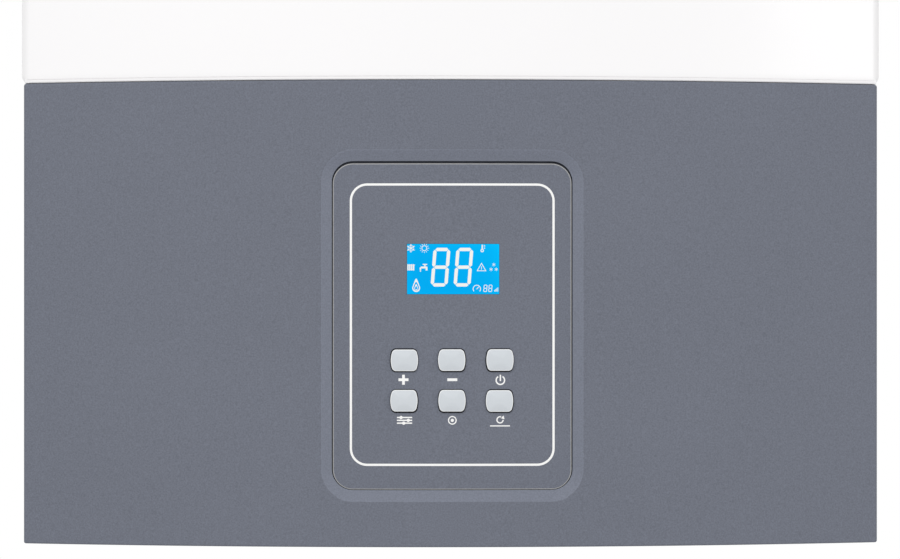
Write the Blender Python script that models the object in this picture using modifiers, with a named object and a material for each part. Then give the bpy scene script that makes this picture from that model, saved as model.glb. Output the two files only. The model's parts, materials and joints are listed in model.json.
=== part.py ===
"""A wall-hung gas boiler with a sealed chamber, in metres: +X right, +Z up, its back on the plane y = 0.

The front faces -Y, so places are given by their depth from the wall, which is -y.
The origin is on the wall, in the middle of the hanging bracket.
"""

import math

import bmesh
import bpy
from mathutils import Matrix, Vector

# Casing
CASING_WIDTH = 0.400
CASING_HEIGHT = 0.720
CASING_DEPTH = 0.300
FRONT_BOW = 0.026
FRONT_RETURN = 0.040
FASCIA_HEIGHT = 0.215
HANG_DROP = 0.060
SHEET = 0.001
FOLD = 0.010
BASE_RISE = 0.004
PANEL_JOINT = 0.0008
SEAT_GAP = 0.0003
FRAME_DEPTH = 0.015
OVERRUN = 0.002
BOW_STRIPS = 12

HALF_WIDTH = CASING_WIDTH / 2
TOP_Z = HANG_DROP
BASE_Z = TOP_Z - CASING_HEIGHT
EDGE_DEPTH = CASING_DEPTH - FRONT_BOW
RETURN_DEPTH = EDGE_DEPTH - FRONT_RETURN
SIDE_FRONT = RETURN_DEPTH - PANEL_JOINT
INNER_HALF = HALF_WIDTH - SHEET - SEAT_GAP
FASCIA_TOP = BASE_Z + FASCIA_HEIGHT
COVER_BASE = FASCIA_TOP + PANEL_JOINT

# Hinge of the control box
HINGE_RISE = 0.009
HINGE_DEPTH = RETURN_DEPTH
HINGE_Z = BASE_Z + HINGE_RISE
HINGE_SWEEP = 0.0015
PIN_RADIUS = 0.0025
LUG_RADIUS = 0.0055
LUG_WIDTH = 0.004
EAR_WIDTH = 0.002

# Fascia and its panel
FASCIA_WALL = 0.0025
FASCIA_LIP = 0.028
BAND_WIDTH = 0.0057
BAND_DEPTH = 0.003
BAND_OUTER_WIDTH = 0.1212
BAND_OUTER_HEIGHT = 0.1617
BAND_OUTER_RADIUS = 0.0137
PANEL_DROP = 0.0059
PANEL_GAP = 0.0007
PANEL_WALL = 0.0025
PAD_DEPTH = 0.004
PAD_MARGIN = 0.006

PANEL_Z = BASE_Z + FASCIA_HEIGHT / 2 - PANEL_DROP
PANEL_WIDTH = BAND_OUTER_WIDTH - 2 * BAND_WIDTH - 2 * PANEL_GAP
PANEL_HEIGHT = BAND_OUTER_HEIGHT - 2 * BAND_WIDTH - 2 * PANEL_GAP
PANEL_RADIUS = BAND_OUTER_RADIUS - BAND_WIDTH - PANEL_GAP
PANEL_FRONT = EDGE_DEPTH - BAND_DEPTH
PANEL_BACK = PANEL_FRONT - PANEL_WALL
PAD_BACK = EDGE_DEPTH - FASCIA_WALL - PAD_DEPTH

# Display and buttons
DISPLAY_WIDTH = 0.0427
DISPLAY_HEIGHT = 0.0232
DISPLAY_RISE = 0.0261
LENS_WALL = 0.002
BUTTON_WIDTH = 0.0126
BUTTON_HEIGHT = 0.0105
BUTTON_PITCH = 0.022
BUTTON_TOP_DROP = 0.0158
BUTTON_ROW_PITCH = 0.0188
BUTTON_CLEARANCE = 0.0004
BUTTON_PROUD = 0.0015
BUTTON_TRAVEL = 0.0012
BUTTON_RIM = 0.001
POST_INSET = 0.006

# Control box
TRAY_MARGIN = 0.016
TRAY_WALL = 0.002
TRAY_SETBACK = 0.012
TRAY_DEPTH = 0.054
TRAY_RISE = 0.018
TRAY_TOP_DROP = 0.013
BOSS_RADIUS = 0.005
BOSS_X_INSET = 0.019
BOSS_Z_INSET = 0.020

TRAY_HALF = HALF_WIDTH - TRAY_MARGIN
TRAY_FRONT = EDGE_DEPTH - TRAY_SETBACK
TRAY_BACK = TRAY_FRONT - TRAY_DEPTH
TRAY_BASE = BASE_Z + TRAY_RISE
TRAY_TOP = FASCIA_TOP - TRAY_TOP_DROP

# Sealed chamber
CHAMBER_MARGIN = 0.015
VESSEL_DEPTH = 0.070
CHAMBER_SETBACK = 0.015
CHAMBER_RISE = 0.020
CHAMBER_DROP = 0.004
SEAL_DEPTH = 0.003
SEAL_WIDTH = 0.008
FIRE_SIDE_ROOM = 0.055
FIRE_BACK_ROOM = 0.020
FIRE_FRONT_ROOM = 0.024
FIRE_RISE = 0.080
FIRE_HEIGHT = 0.130
FIBRE = 0.012
EXCHANGER_HEIGHT = 0.064
HOOD_HEIGHT = 0.060
BURNER_HEIGHT = 0.034
FLUE_RADIUS = 0.030
FLUE_WALL = 0.0015
ELBOW_COLLAR = 0.004
COLLAR_RADIUS = 0.050
COLLAR_RISE = 0.035
FLUE_DEPTH = 0.150
ELBOW_STRAIGHT = 0.0095
SCROLL_MARGIN = 0.023
SCROLL_ROOM = 0.010
SCROLL_GROWTH = 0.014
SCROLL_HEIGHT = 0.061
OUTLET_ROOM = 0.004
FAN_GAP = 0.006
INLET_SHARE = 0.68

CHAMBER_HALF = HALF_WIDTH - CHAMBER_MARGIN
CHAMBER_BACK = FRAME_DEPTH + VESSEL_DEPTH
CHAMBER_FRONT = EDGE_DEPTH - CHAMBER_SETBACK
CHAMBER_BASE = FASCIA_TOP + CHAMBER_RISE
CHAMBER_TOP = TOP_Z - CHAMBER_DROP
FIRE_HALF = CHAMBER_HALF - FIRE_SIDE_ROOM
FIRE_BACK = CHAMBER_BACK + FIRE_BACK_ROOM
FIRE_FRONT = CHAMBER_FRONT - FIRE_FRONT_ROOM
FIRE_BASE = CHAMBER_BASE + FIRE_RISE
FIRE_TOP = FIRE_BASE + FIRE_HEIGHT
FIRE_MID_DEPTH = (FIRE_BACK + FIRE_FRONT) / 2
EXCHANGER_BASE = FIRE_TOP + SEAT_GAP
EXCHANGER_TOP = EXCHANGER_BASE + EXCHANGER_HEIGHT
HOOD_TOP = EXCHANGER_TOP + SEAT_GAP + HOOD_HEIGHT
SCROLL_BASE = HOOD_TOP + SEAT_GAP
SCROLL_TOP = SCROLL_BASE + SCROLL_HEIGHT
ELBOW_Z = (SCROLL_BASE + SCROLL_TOP) / 2
SCROLL_END = (CHAMBER_FRONT - CHAMBER_BACK) / 2 - SCROLL_MARGIN
SCROLL_START = SCROLL_END - SCROLL_GROWTH
FAN_RADIUS = SCROLL_START - FAN_GAP
INLET_RADIUS = FAN_RADIUS * INLET_SHARE
OUTLET_X = -(FLUE_RADIUS + FLUE_WALL + ELBOW_STRAIGHT)
FAN_X = OUTLET_X - SCROLL_START - OUTLET_ROOM
FAN_DEPTH = CHAMBER_FRONT - SCROLL_END - SCROLL_ROOM

# Water and gas
UNION_DEPTH = 0.085
UNION_PITCH = 0.065
UNION_DROP = 0.010
WATER_UNION_RADIUS = 0.0105
HEATING_UNION_RADIUS = 0.0132
UNION_BORE_SHARE = 0.62
HEXAGON_SHARE = 1.22
MANIFOLD_RISE = 0.0303
MANIFOLD_HEIGHT = 0.045
MANIFOLD_DEPTH = 0.040
MANIFOLD_MARGIN = 0.027
MANIFOLD_INNER_MARGIN = 0.020
CAST_EDGE = 0.004
PIPE_RADIUS = 0.008
GAS_PIPE_RADIUS = 0.007
PIPE_BEND = 0.016
BEND_SHARE = 0.9
PIPE_ROOM = 0.017
PORT_FORWARD = 0.020
GAS_RAIL_INSET = 0.013
CROSS_DROP = 0.017
PUMP_SHIFT = 0.015
PUMP_RISE = 0.0607
PUMP_RADIUS = 0.040
MOTOR_ROOM = 0.0155

PIPE_X = CHAMBER_HALF - PIPE_ROOM
PIPE_DEPTH = FIRE_MID_DEPTH + PORT_FORWARD
GAS_PIPE_DEPTH = FIRE_FRONT - GAS_RAIL_INSET
CROSS_Z = CHAMBER_BASE - CROSS_DROP
PUMP_X = 2 * UNION_PITCH - PUMP_SHIFT
MANIFOLD_BASE = BASE_Z + MANIFOLD_RISE
MANIFOLD_TOP = MANIFOLD_BASE + MANIFOLD_HEIGHT
MANIFOLD_BACK = UNION_DEPTH - MANIFOLD_DEPTH / 2
MANIFOLD_FRONT = UNION_DEPTH + MANIFOLD_DEPTH / 2
PUMP_Z = MANIFOLD_TOP + PUMP_RISE

ALL_SIDES = ("+x", "-x", "+y", "-y", "+z", "-z")
NORMALS = dict(zip(ALL_SIDES, [s * Vector(a) for a in ((1, 0, 0), (0, 1, 0), (0, 0, 1)) for s in (1, -1)]))
AXES = {"x": Vector((1, 0, 0)), "y": Vector((0, 1, 0)), "z": Vector((0, 0, 1))}

FINISHES = {
    "white_enamel": ((0.93, 0.93, 0.93), 0.35, 0.0),
    "grey_fascia": ((0.169, 0.182, 0.220), 0.55, 0.0),
    "button_grey": ((0.62, 0.66, 0.69), 0.45, 0.0),
    "display_blue": ((0.0, 0.43, 0.90), 0.12, 0.0),
    "galvanised": ((0.55, 0.56, 0.57), 0.45, 0.9),
    "aluminised": ((0.66, 0.66, 0.65), 0.40, 0.9),
    "aluminium": ((0.70, 0.70, 0.70), 0.38, 0.9),
    "copper": ((0.72, 0.36, 0.22), 0.30, 1.0),
    "brass": ((0.74, 0.56, 0.26), 0.35, 1.0),
    "steel": ((0.50, 0.51, 0.52), 0.35, 1.0),
    "black_plastic": ((0.025, 0.025, 0.028), 0.50, 0.0),
    "grey_plastic": ((0.30, 0.31, 0.32), 0.55, 0.0),
    "board_green": ((0.02, 0.16, 0.07), 0.50, 0.0),
    "vessel_red": ((0.45, 0.03, 0.02), 0.40, 0.0),
    "knob_red": ((0.60, 0.03, 0.02), 0.40, 0.0),
    "knob_blue": ((0.02, 0.10, 0.45), 0.40, 0.0),
    "silicone": ((0.55, 0.16, 0.08), 0.70, 0.0),
    "fibre": ((0.80, 0.76, 0.68), 0.95, 0.0),
    "ceramic": ((0.85, 0.84, 0.80), 0.40, 0.0),
    "glass": ((0.20, 0.24, 0.24), 0.05, 0.0),
}


def clear_scene():
    for thing in list(bpy.data.objects):
        bpy.data.objects.remove(thing, do_unlink=True)


clear_scene()
BOILER = bpy.data.collections.new("wall_gas_boiler")
CUTTERS = bpy.data.collections.new("cutters")
CUTTERS.hide_render = True
bpy.context.scene.collection.children.link(BOILER)
bpy.context.scene.collection.children.link(CUTTERS)


def at(x, depth, z):
    """The point that lies this deep in front of the wall."""
    return Vector((x, -depth, z))


def around(middle, size):
    return (middle - size / 2, middle + size / 2)


def centre_of(x_span, depth_span, z_span):
    return at(sum(x_span) / 2, sum(depth_span) / 2, sum(z_span) / 2)


def add_object(name, data, place):
    piece = bpy.data.objects.new(name, data)
    piece.location = place
    BOILER.objects.link(piece)
    return piece


def object_from(name, form, place):
    mesh = bpy.data.meshes.new(name)
    bmesh.ops.recalc_face_normals(form, faces=form.faces)
    form.to_mesh(mesh)
    form.free()
    return add_object(name, mesh, place)


def cube_form(x_span, depth_span, z_span):
    form = bmesh.new()
    bmesh.ops.create_cube(form, size=1)
    size = Vector((x_span[1] - x_span[0], depth_span[1] - depth_span[0], z_span[1] - z_span[0]))
    bmesh.ops.scale(form, vec=size, verts=form.verts)
    return form


def edges_along(form, axis):
    return [e for e in form.edges if abs((e.verts[0].co - e.verts[1].co).normalized().dot(axis)) > 0.99]


def round_edges(form, edges, radius, steps):
    circle_share = 0.5
    bmesh.ops.bevel(
        form, geom=edges, offset=radius, segments=steps, profile=circle_share, affect="EDGES"
    )


def box(name, x_span, depth_span, z_span, radius=0, along="", steps=2):
    """A block whose edges along the named axes are rounded."""
    form = cube_form(x_span, depth_span, z_span)
    if radius:
        chosen = [edge for axis in along for edge in edges_along(form, AXES[axis])]
        round_edges(form, chosen, radius, steps)
    return object_from(name, form, centre_of(x_span, depth_span, z_span))


def case(name, x_span, depth_span, z_span, open_sides, wall, corner=0, lips=None, steps=3):
    """A sheet box that is open on the named sides, with its wall inside the given spans.

    corner rounds the edges of the front, and lips says how far a side reaches back from the front.
    """
    form = cube_form(x_span, depth_span, z_span)
    removed = [f for f in form.faces for side in open_sides if f.normal.dot(NORMALS[side]) > 0.99]
    bmesh.ops.delete(form, geom=removed, context="FACES")
    if corner:
        front = min(v.co.y for v in form.verts)
        chosen = [e for e in form.edges if all(abs(v.co.y - front) < SHEET / 10 for v in e.verts)]
        round_edges(form, chosen, corner, steps)
    mesh = bpy.data.meshes.new(name)
    form.to_mesh(mesh)
    form.free()
    piece = add_object(name, mesh, centre_of(x_span, depth_span, z_span))
    solid = piece.modifiers.new("Wall", "SOLIDIFY")
    solid.thickness = wall
    solid.offset = -1
    solid.use_even_offset = True
    for side, reach in (lips or {}).items():
        x_inner = (x_span[0] + wall, x_span[1] - wall)
        edge = z_span[0] if side == "-z" else z_span[1]
        z_cut = (edge - wall - OVERRUN, edge + wall + OVERRUN)
        depth_cut = (depth_span[0] - OVERRUN, depth_span[1] - reach)
        cut(piece, box(name + "_lip" + side, x_inner, depth_cut, z_cut))
    return piece


def rod(name, start, end, radius, sides=12):
    """A round bar between two points."""
    reach = end - start
    form = bmesh.new()
    bmesh.ops.create_cone(
        form, cap_ends=True, segments=sides, radius1=radius, radius2=radius, depth=reach.length
    )
    turn = Vector((0, 0, 1)).rotation_difference(reach).to_matrix().to_4x4()
    bmesh.ops.transform(form, matrix=turn, verts=form.verts)
    return object_from(name, form, (start + end) / 2)


def turned(name, profile, place, towards=(0, 0, 1), steps=16):
    """A turned solid: profile holds (radius, height) pairs that run down its outside, from its top."""
    closed = profile[0][0] > 0
    edges = [(i, i + 1) for i in range(len(profile) - 1)] + ([(len(profile) - 1, 0)] if closed else [])
    mesh = bpy.data.meshes.new(name)
    mesh.from_pydata([(radius, 0, height) for radius, height in profile], edges, [])
    piece = add_object(name, mesh, place)
    piece.rotation_mode = "QUATERNION"
    piece.rotation_quaternion = Vector((0, 0, 1)).rotation_difference(Vector(towards))
    screw = piece.modifiers.new("Turn", "SCREW")
    screw.steps = steps
    screw.render_steps = steps
    screw.use_merge_vertices = True
    screw.merge_threshold = 0.00001
    return piece


def settle(piece):
    """Makes the evaluated shape of a piece its own mesh."""
    bpy.context.view_layer.update()
    shaped = piece.evaluated_get(bpy.context.evaluated_depsgraph_get())
    mesh = bpy.data.meshes.new_from_object(shaped)
    mesh.name = piece.name
    if piece.type == "MESH":
        piece.modifiers.clear()
        piece.data = mesh
        return piece
    form = bmesh.new()
    form.from_mesh(mesh)
    bmesh.ops.remove_doubles(form, verts=form.verts, dist=SHEET / 1000)
    bmesh.ops.recalc_face_normals(form, faces=form.faces)
    form.to_mesh(mesh)
    form.free()
    name = piece.name
    place = piece.matrix_world.copy()
    bpy.data.objects.remove(piece, do_unlink=True)
    solid = add_object(name, mesh, (0, 0, 0))
    solid.matrix_world = place
    return solid


def bent(points, radius, steps):
    """The points of a run of pipe with an arc of the given radius in each corner."""
    run = [points[0]]
    for before, corner, after in zip(points, points[1:], points[2:]):
        back = (before - corner).normalized()
        on = (after - corner).normalized()
        half = back.angle(on) / 2
        middle = corner + (back + on).normalized() * radius / math.sin(half)
        first = corner + back * radius / math.tan(half) - middle
        last = corner + on * radius / math.tan(half) - middle
        turn = first.rotation_difference(last)
        for i in range(steps + 1):
            arm = first.copy()
            arm.rotate(turn.to_matrix().to_4x4().lerp(Matrix.Identity(4), 1 - i / steps).to_quaternion())
            run.append(middle + arm)
    return run + [points[-1]]


def swept(name, points, radius, bend=0, bore=0, steps=3):
    """A pipe along the points. A bore makes it a tube that is open at both ends."""
    def solid_run(label, run, thick):
        curve = bpy.data.curves.new(label, "CURVE")
        curve.dimensions = "3D"
        curve.bevel_depth = thick
        curve.bevel_resolution = 2 if thick < FLUE_RADIUS / 2 else 4
        curve.use_fill_caps = True
        spline = curve.splines.new("POLY")
        spline.points.add(len(run) - 1)
        for point, co in zip(spline.points, run):
            point.co = (*co, 1)
        return settle(add_object(label, curve, (0, 0, 0)))

    run = bent(points, bend, steps) if bend else list(points)
    pipe = solid_run(name, run, radius)
    if bore:
        first = run[0] + (run[0] - run[1]).normalized() * OVERRUN
        last = run[-1] + (run[-1] - run[-2]).normalized() * OVERRUN
        cut(pipe, solid_run(name + "_bore", [first] + run[1:-1] + [last], bore))
    return pipe


def flat(name, outline, place, thickness, upright=False):
    """A plate of the outline's shape, lying flat, or upright with its face to the front."""
    curve = bpy.data.curves.new(name, "CURVE")
    curve.dimensions = "2D"
    curve.fill_mode = "BOTH"
    curve.extrude = thickness / 2
    spline = curve.splines.new("POLY")
    spline.points.add(len(outline) - 1)
    spline.use_cyclic_u = True
    for point, (x, y) in zip(spline.points, outline):
        point.co = (x, y, 0, 1)
    plate = add_object(name, curve, place)
    plate.rotation_euler.x = math.radians(90) if upright else 0
    return settle(plate)


def boolean(piece, tool, operation, solver="EXACT"):
    change = piece.modifiers.new(tool.name, "BOOLEAN")
    change.solver = solver
    change.operation = operation
    change.object = tool
    tool.hide_render = True
    tool.display_type = "WIRE"
    BOILER.objects.unlink(tool)
    CUTTERS.objects.link(tool)


def cut(piece, *tools):
    for tool in tools:
        boolean(piece, tool, "DIFFERENCE")
    return piece


def join(piece, *tools):
    for tool in tools:
        boolean(piece, tool, "UNION")
    return piece


def bow(x):
    """How far the front stands out at x: an arc across the casing, straight inside each strip."""
    radius = (HALF_WIDTH**2 + FRONT_BOW**2) / (2 * FRONT_BOW)

    def arc(place):
        return math.sqrt(radius**2 - min(abs(place), HALF_WIDTH) ** 2) - (radius - FRONT_BOW)

    strip = CASING_WIDTH / BOW_STRIPS
    share = min(max((x + HALF_WIDTH) / strip, 0), BOW_STRIPS - 1e-6)
    low = -HALF_WIDTH + math.floor(share) * strip
    return arc(low) + (arc(low + strip) - arc(low)) * (share - math.floor(share))


def bow_front(piece, from_depth):
    """Pushes what lies in front of from_depth out to the bow, after slicing it at each strip."""
    settle(piece)
    form = bmesh.new()
    form.from_mesh(piece.data)
    form.transform(Matrix.Translation(piece.location))
    piece.location = (0, 0, 0)
    bmesh.ops.triangulate(form, faces=form.faces)
    for i in range(1, BOW_STRIPS):
        everything = form.verts[:] + form.edges[:] + form.faces[:]
        x = -HALF_WIDTH + i * CASING_WIDTH / BOW_STRIPS
        bmesh.ops.bisect_plane(
            form, geom=everything, dist=SHEET / 1000, plane_co=(x, 0, 0), plane_no=(1, 0, 0)
        )
    for vert in form.verts:
        if -vert.co.y > from_depth:
            vert.co.y -= bow(vert.co.x)
    form.normal_update()
    bmesh.ops.dissolve_limit(form, angle_limit=math.radians(0.1), verts=form.verts, edges=form.edges)
    form.to_mesh(piece.data)
    form.free()
    return piece


def move_origin(piece, place):
    """Puts the origin of an unturned piece at the place, and leaves its shape where it is."""
    settle(piece)
    piece.data.transform(Matrix.Translation(piece.location - place))
    piece.location = place
    return piece


def dress(piece, finish, smooth=True):
    colour, roughness, metallic = FINISHES[finish]
    material = bpy.data.materials.new(piece.name)
    material.use_nodes = True
    shader = material.node_tree.nodes["Principled BSDF"]
    shader.inputs["Base Color"].default_value = (*colour, 1)
    shader.inputs["Roughness"].default_value = roughness
    shader.inputs["Metallic"].default_value = metallic
    piece.data.materials.clear()
    piece.data.materials.append(material)
    if smooth and not piece.modifiers:
        piece.data.shade_smooth()
        piece.data.set_sharp_from_angle(angle=math.radians(30))
    return piece


# Wall bracket and rear frame

HOOK_X = 0.120
HOOK_WIDTH = 0.030
HOOK_SHEET = 0.002
HOOK_LIP = 0.014
HOOK_REACH = 0.0195
HOOK_SEAT_Z = -0.006
FRAME_PLATE = 0.0012


def make_wall_bracket():
    half_length = 0.160
    half_height = 0.030
    screw_radius = 0.004
    screw_x = 0.060
    bracket = box(
        "wall_bracket", (-half_length, half_length), (0, HOOK_SHEET), (-half_height, half_height),
        HOOK_SHEET, "y",
    )
    for side in (-1, 1):
        x_span = around(side * HOOK_X, HOOK_WIDTH)
        shelf_z = (HOOK_SEAT_Z - HOOK_SHEET, HOOK_SEAT_Z)
        shelf = box(f"hook_shelf_{side}", x_span, (HOOK_SHEET / 2, HOOK_REACH), shelf_z)
        lip_z = (HOOK_SEAT_Z - HOOK_SHEET, HOOK_SEAT_Z - HOOK_SHEET + HOOK_LIP)
        lip = box(f"hook_lip_{side}", x_span, (HOOK_REACH - HOOK_SHEET, HOOK_REACH), lip_z)
        join(bracket, join(lip, shelf))
        start = at(side * screw_x, -OVERRUN, 0)
        end = at(side * screw_x, HOOK_SHEET + OVERRUN, 0)
        cut(bracket, rod(f"wall_screw_{side}", start, end, screw_radius))
    return dress(bracket, "galvanised")


def make_rear_frame():
    low = BASE_Z + BASE_RISE + FOLD + SEAT_GAP
    high = TOP_Z - FOLD - SEAT_GAP
    frame = case(
        "rear_frame", (-INNER_HALF, INNER_HALF), (0, FRAME_DEPTH), (low, high), ("+y",), FRAME_PLATE
    )
    slot_top = HOOK_SEAT_Z + SEAT_GAP
    slot_height = HOOK_LIP + 2 * HOOK_SHEET
    for side in (-1, 1):
        cut(frame, box(
            f"hook_slot_{side}", around(side * HOOK_X, HOOK_WIDTH + 2 * OVERRUN),
            (FRAME_DEPTH - FRAME_PLATE - OVERRUN, FRAME_DEPTH + OVERRUN), (slot_top - slot_height, slot_top),
        ))
    return dress(frame, "galvanised")


# Casing panels

NOTCH_HEIGHT = 0.022
SIDE_FOLD = 0.012
WALL_CLEARANCE = 0.0005


def make_side_panel(name, side):
    inner = side * (HALF_WIDTH - SIDE_FOLD)
    outer = side * HALF_WIDTH
    open_side = "-x" if side > 0 else "+x"
    panel = case(
        name, (min(inner, outer), max(inner, outer)), (WALL_CLEARANCE, SIDE_FRONT), (BASE_Z, TOP_Z),
        (open_side, "+y", "+z", "-z"), SHEET,
    )
    swept_back = HINGE_DEPTH - HINGE_RISE - HINGE_SWEEP
    cut(panel, box(
        name + "_notch", around(side * HALF_WIDTH, 2 * SIDE_FOLD + 2 * OVERRUN),
        (swept_back, SIDE_FRONT + OVERRUN), (BASE_Z - OVERRUN, HINGE_Z + SHEET),
    ))
    fold_span = sorted((side * (HALF_WIDTH - SIDE_FOLD - OVERRUN), side * (HALF_WIDTH - SHEET)))
    cut(panel, box(
        name + "_ear_room", fold_span, (SIDE_FRONT - 2 * SHEET, SIDE_FRONT + OVERRUN),
        (BASE_Z - OVERRUN, BASE_Z + NOTCH_HEIGHT),
    ))
    return dress(panel, "white_enamel")


def make_top_panel():
    front = SIDE_FRONT - SHEET - SEAT_GAP
    panel = case(
        "top_panel", (-INNER_HALF, INNER_HALF), (WALL_CLEARANCE, front), (TOP_Z - FOLD, TOP_Z),
        ("-z", "-y"), SHEET,
    )
    start = at(0, FLUE_DEPTH, TOP_Z - FOLD)
    end = at(0, FLUE_DEPTH, TOP_Z + OVERRUN)
    cut(panel, rod("flue_hole", start, end, COLLAR_RADIUS + SEAT_GAP, 32))
    return dress(panel, "white_enamel")


BASE_FRONT = HINGE_DEPTH - HINGE_RISE - HINGE_SWEEP
GLAND_SIDE_ROOM = 0.035
GLAND_INSET = 0.0635
GLAND_X = HALF_WIDTH - GLAND_SIDE_ROOM
GLAND_DEPTH = BASE_FRONT - GLAND_INSET
GLAND_RADIUS = 0.009
TAP_X = 1.5 * UNION_PITCH
TAP_STEM_RADIUS = 0.005
EAR_GAP = 0.0025
EAR_X = TRAY_HALF + EAR_GAP
UNIONS = (
    (-2 * UNION_PITCH, HEATING_UNION_RADIUS),
    (-UNION_PITCH, WATER_UNION_RADIUS),
    (0, WATER_UNION_RADIUS),
    (UNION_PITCH, WATER_UNION_RADIUS),
    (2 * UNION_PITCH, HEATING_UNION_RADIUS),
)


def make_bottom_plate():
    low = BASE_Z + BASE_RISE
    plate = case(
        "bottom_plate", (-INNER_HALF, INNER_HALF), (WALL_CLEARANCE, BASE_FRONT), (low, low + FOLD),
        ("+z",), SHEET,
    )
    holes = [(x, UNION_DEPTH, radius) for x, radius in UNIONS]
    holes += [(GLAND_X, GLAND_DEPTH, GLAND_RADIUS), (TAP_X, UNION_DEPTH, TAP_STEM_RADIUS)]
    for i, (x, depth, radius) in enumerate(holes):
        clear = radius + 2 * SEAT_GAP
        end = at(x, depth, low + SHEET + OVERRUN)
        cut(plate, rod(f"base_hole_{i}", at(x, depth, low - OVERRUN), end, clear, 16))
    hole = PIN_RADIUS + SEAT_GAP
    for side in (-1, 1):
        x_span = sorted((side * EAR_X, side * (EAR_X + EAR_WIDTH)))
        ear = box(
            f"ear_{side}", x_span, (BASE_FRONT - FOLD, HINGE_DEPTH + LUG_RADIUS),
            (low + SHEET / 2, HINGE_Z + LUG_RADIUS), LUG_RADIUS / 2, "x",
        )
        join(plate, ear)
        start = at(side * (EAR_X - OVERRUN), HINGE_DEPTH, HINGE_Z)
        end = at(side * (EAR_X + EAR_WIDTH + OVERRUN), HINGE_DEPTH, HINGE_Z)
        cut(plate, rod(f"ear_hole_{side}", start, end, hole))
    return dress(plate, "galvanised")


COVER_CORNER = 0.005
COVER_LIP = 0.012


def make_front_cover():
    cover = case(
        "front_cover", (-HALF_WIDTH, HALF_WIDTH), (RETURN_DEPTH, EDGE_DEPTH), (COVER_BASE, TOP_Z),
        ("+y",), SHEET, COVER_CORNER, {"-z": COVER_LIP},
    )
    bow_front(cover, EDGE_DEPTH - COVER_CORNER - OVERRUN)
    return dress(move_origin(cover, at(0, RETURN_DEPTH, COVER_BASE)), "white_enamel")


# Control fascia and panel

FASCIA_CORNER = 0.003


def make_control_fascia():
    fascia = case(
        "control_fascia", (-HALF_WIDTH, HALF_WIDTH), (RETURN_DEPTH, EDGE_DEPTH), (BASE_Z, FASCIA_TOP),
        ("+y",), FASCIA_WALL, FASCIA_CORNER, {"-z": FASCIA_LIP, "+z": FASCIA_LIP},
    )
    pad_width = BAND_OUTER_WIDTH + 2 * PAD_MARGIN
    pad_height = BAND_OUTER_HEIGHT + 2 * PAD_MARGIN
    join(fascia, box(
        "panel_pad", around(0, pad_width), (PAD_BACK, EDGE_DEPTH - FASCIA_WALL / 2),
        around(PANEL_Z, pad_height), BAND_OUTER_RADIUS, "y", 3,
    ))
    for i, (x_side, z) in enumerate(boss_places()):
        join(fascia, rod(
            f"fascia_boss_{i}", at(x_side * (TRAY_HALF - BOSS_X_INSET), TRAY_FRONT + SEAT_GAP, z),
            at(x_side * (TRAY_HALF - BOSS_X_INSET), EDGE_DEPTH - FASCIA_WALL / 2, z), BOSS_RADIUS, 12,
        ))
    cut(fascia, band_cutter())
    bow_front(fascia, PAD_BACK - SHEET)
    return dress(move_origin(fascia, at(0, HINGE_DEPTH, HINGE_Z)), "grey_fascia")


def boss_places():
    rows = (TRAY_BASE + BOSS_Z_INSET, TRAY_TOP - BOSS_Z_INSET)
    return [(x_side, z) for x_side in (-1, 1) for z in rows]


def band_cutter():
    """The rounded opening with its sloping band: an outline that is inset, sunk, and cut through."""
    x_span = around(0, BAND_OUTER_WIDTH)
    z_span = around(PANEL_Z, BAND_OUTER_HEIGHT)
    depth_span = (EDGE_DEPTH, EDGE_DEPTH + OVERRUN)
    form = cube_form(x_span, depth_span, z_span)
    round_edges(form, edges_along(form, AXES["y"]), BAND_OUTER_RADIUS, 3)
    form.faces.ensure_lookup_table()
    back = max(form.faces, key=lambda face: face.normal.y)
    bmesh.ops.inset_individual(form, faces=[back], thickness=BAND_WIDTH, use_even_offset=True)
    bmesh.ops.translate(form, vec=(0, BAND_DEPTH, 0), verts=back.verts)
    through = bmesh.ops.extrude_discrete_faces(form, faces=[back])["faces"][0]
    bmesh.ops.translate(form, vec=(0, EDGE_DEPTH - BAND_DEPTH - PAD_BACK + OVERRUN, 0), verts=through.verts)
    return object_from("panel_band", form, centre_of(x_span, depth_span, z_span))


def button_grid():
    """Each button's name, and its x and z."""
    rows = (("power", "minus", "plus"), ("reset", "info", "mode"))
    places = []
    for row, names in enumerate(rows):
        z = PANEL_Z - BUTTON_TOP_DROP - row * BUTTON_ROW_PITCH
        places += [("button_" + name, (1 - i) * BUTTON_PITCH, z) for i, name in enumerate(names)]
    return places


BOARD_BACKSET = 0.0125
BOARD_SHEET = 0.0016
POST_RADIUS = 0.003
POST_X = PANEL_WIDTH / 2 - 2 * POST_INSET
POST_Z = PANEL_HEIGHT / 2 - 2 * POST_INSET
BOARD_FRONT = EDGE_DEPTH + bow(POST_X) - BOARD_BACKSET


def post_places():
    return [(x_side * POST_X, PANEL_Z + z_side * POST_Z) for x_side in (-1, 1) for z_side in (-1, 1)]


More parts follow.
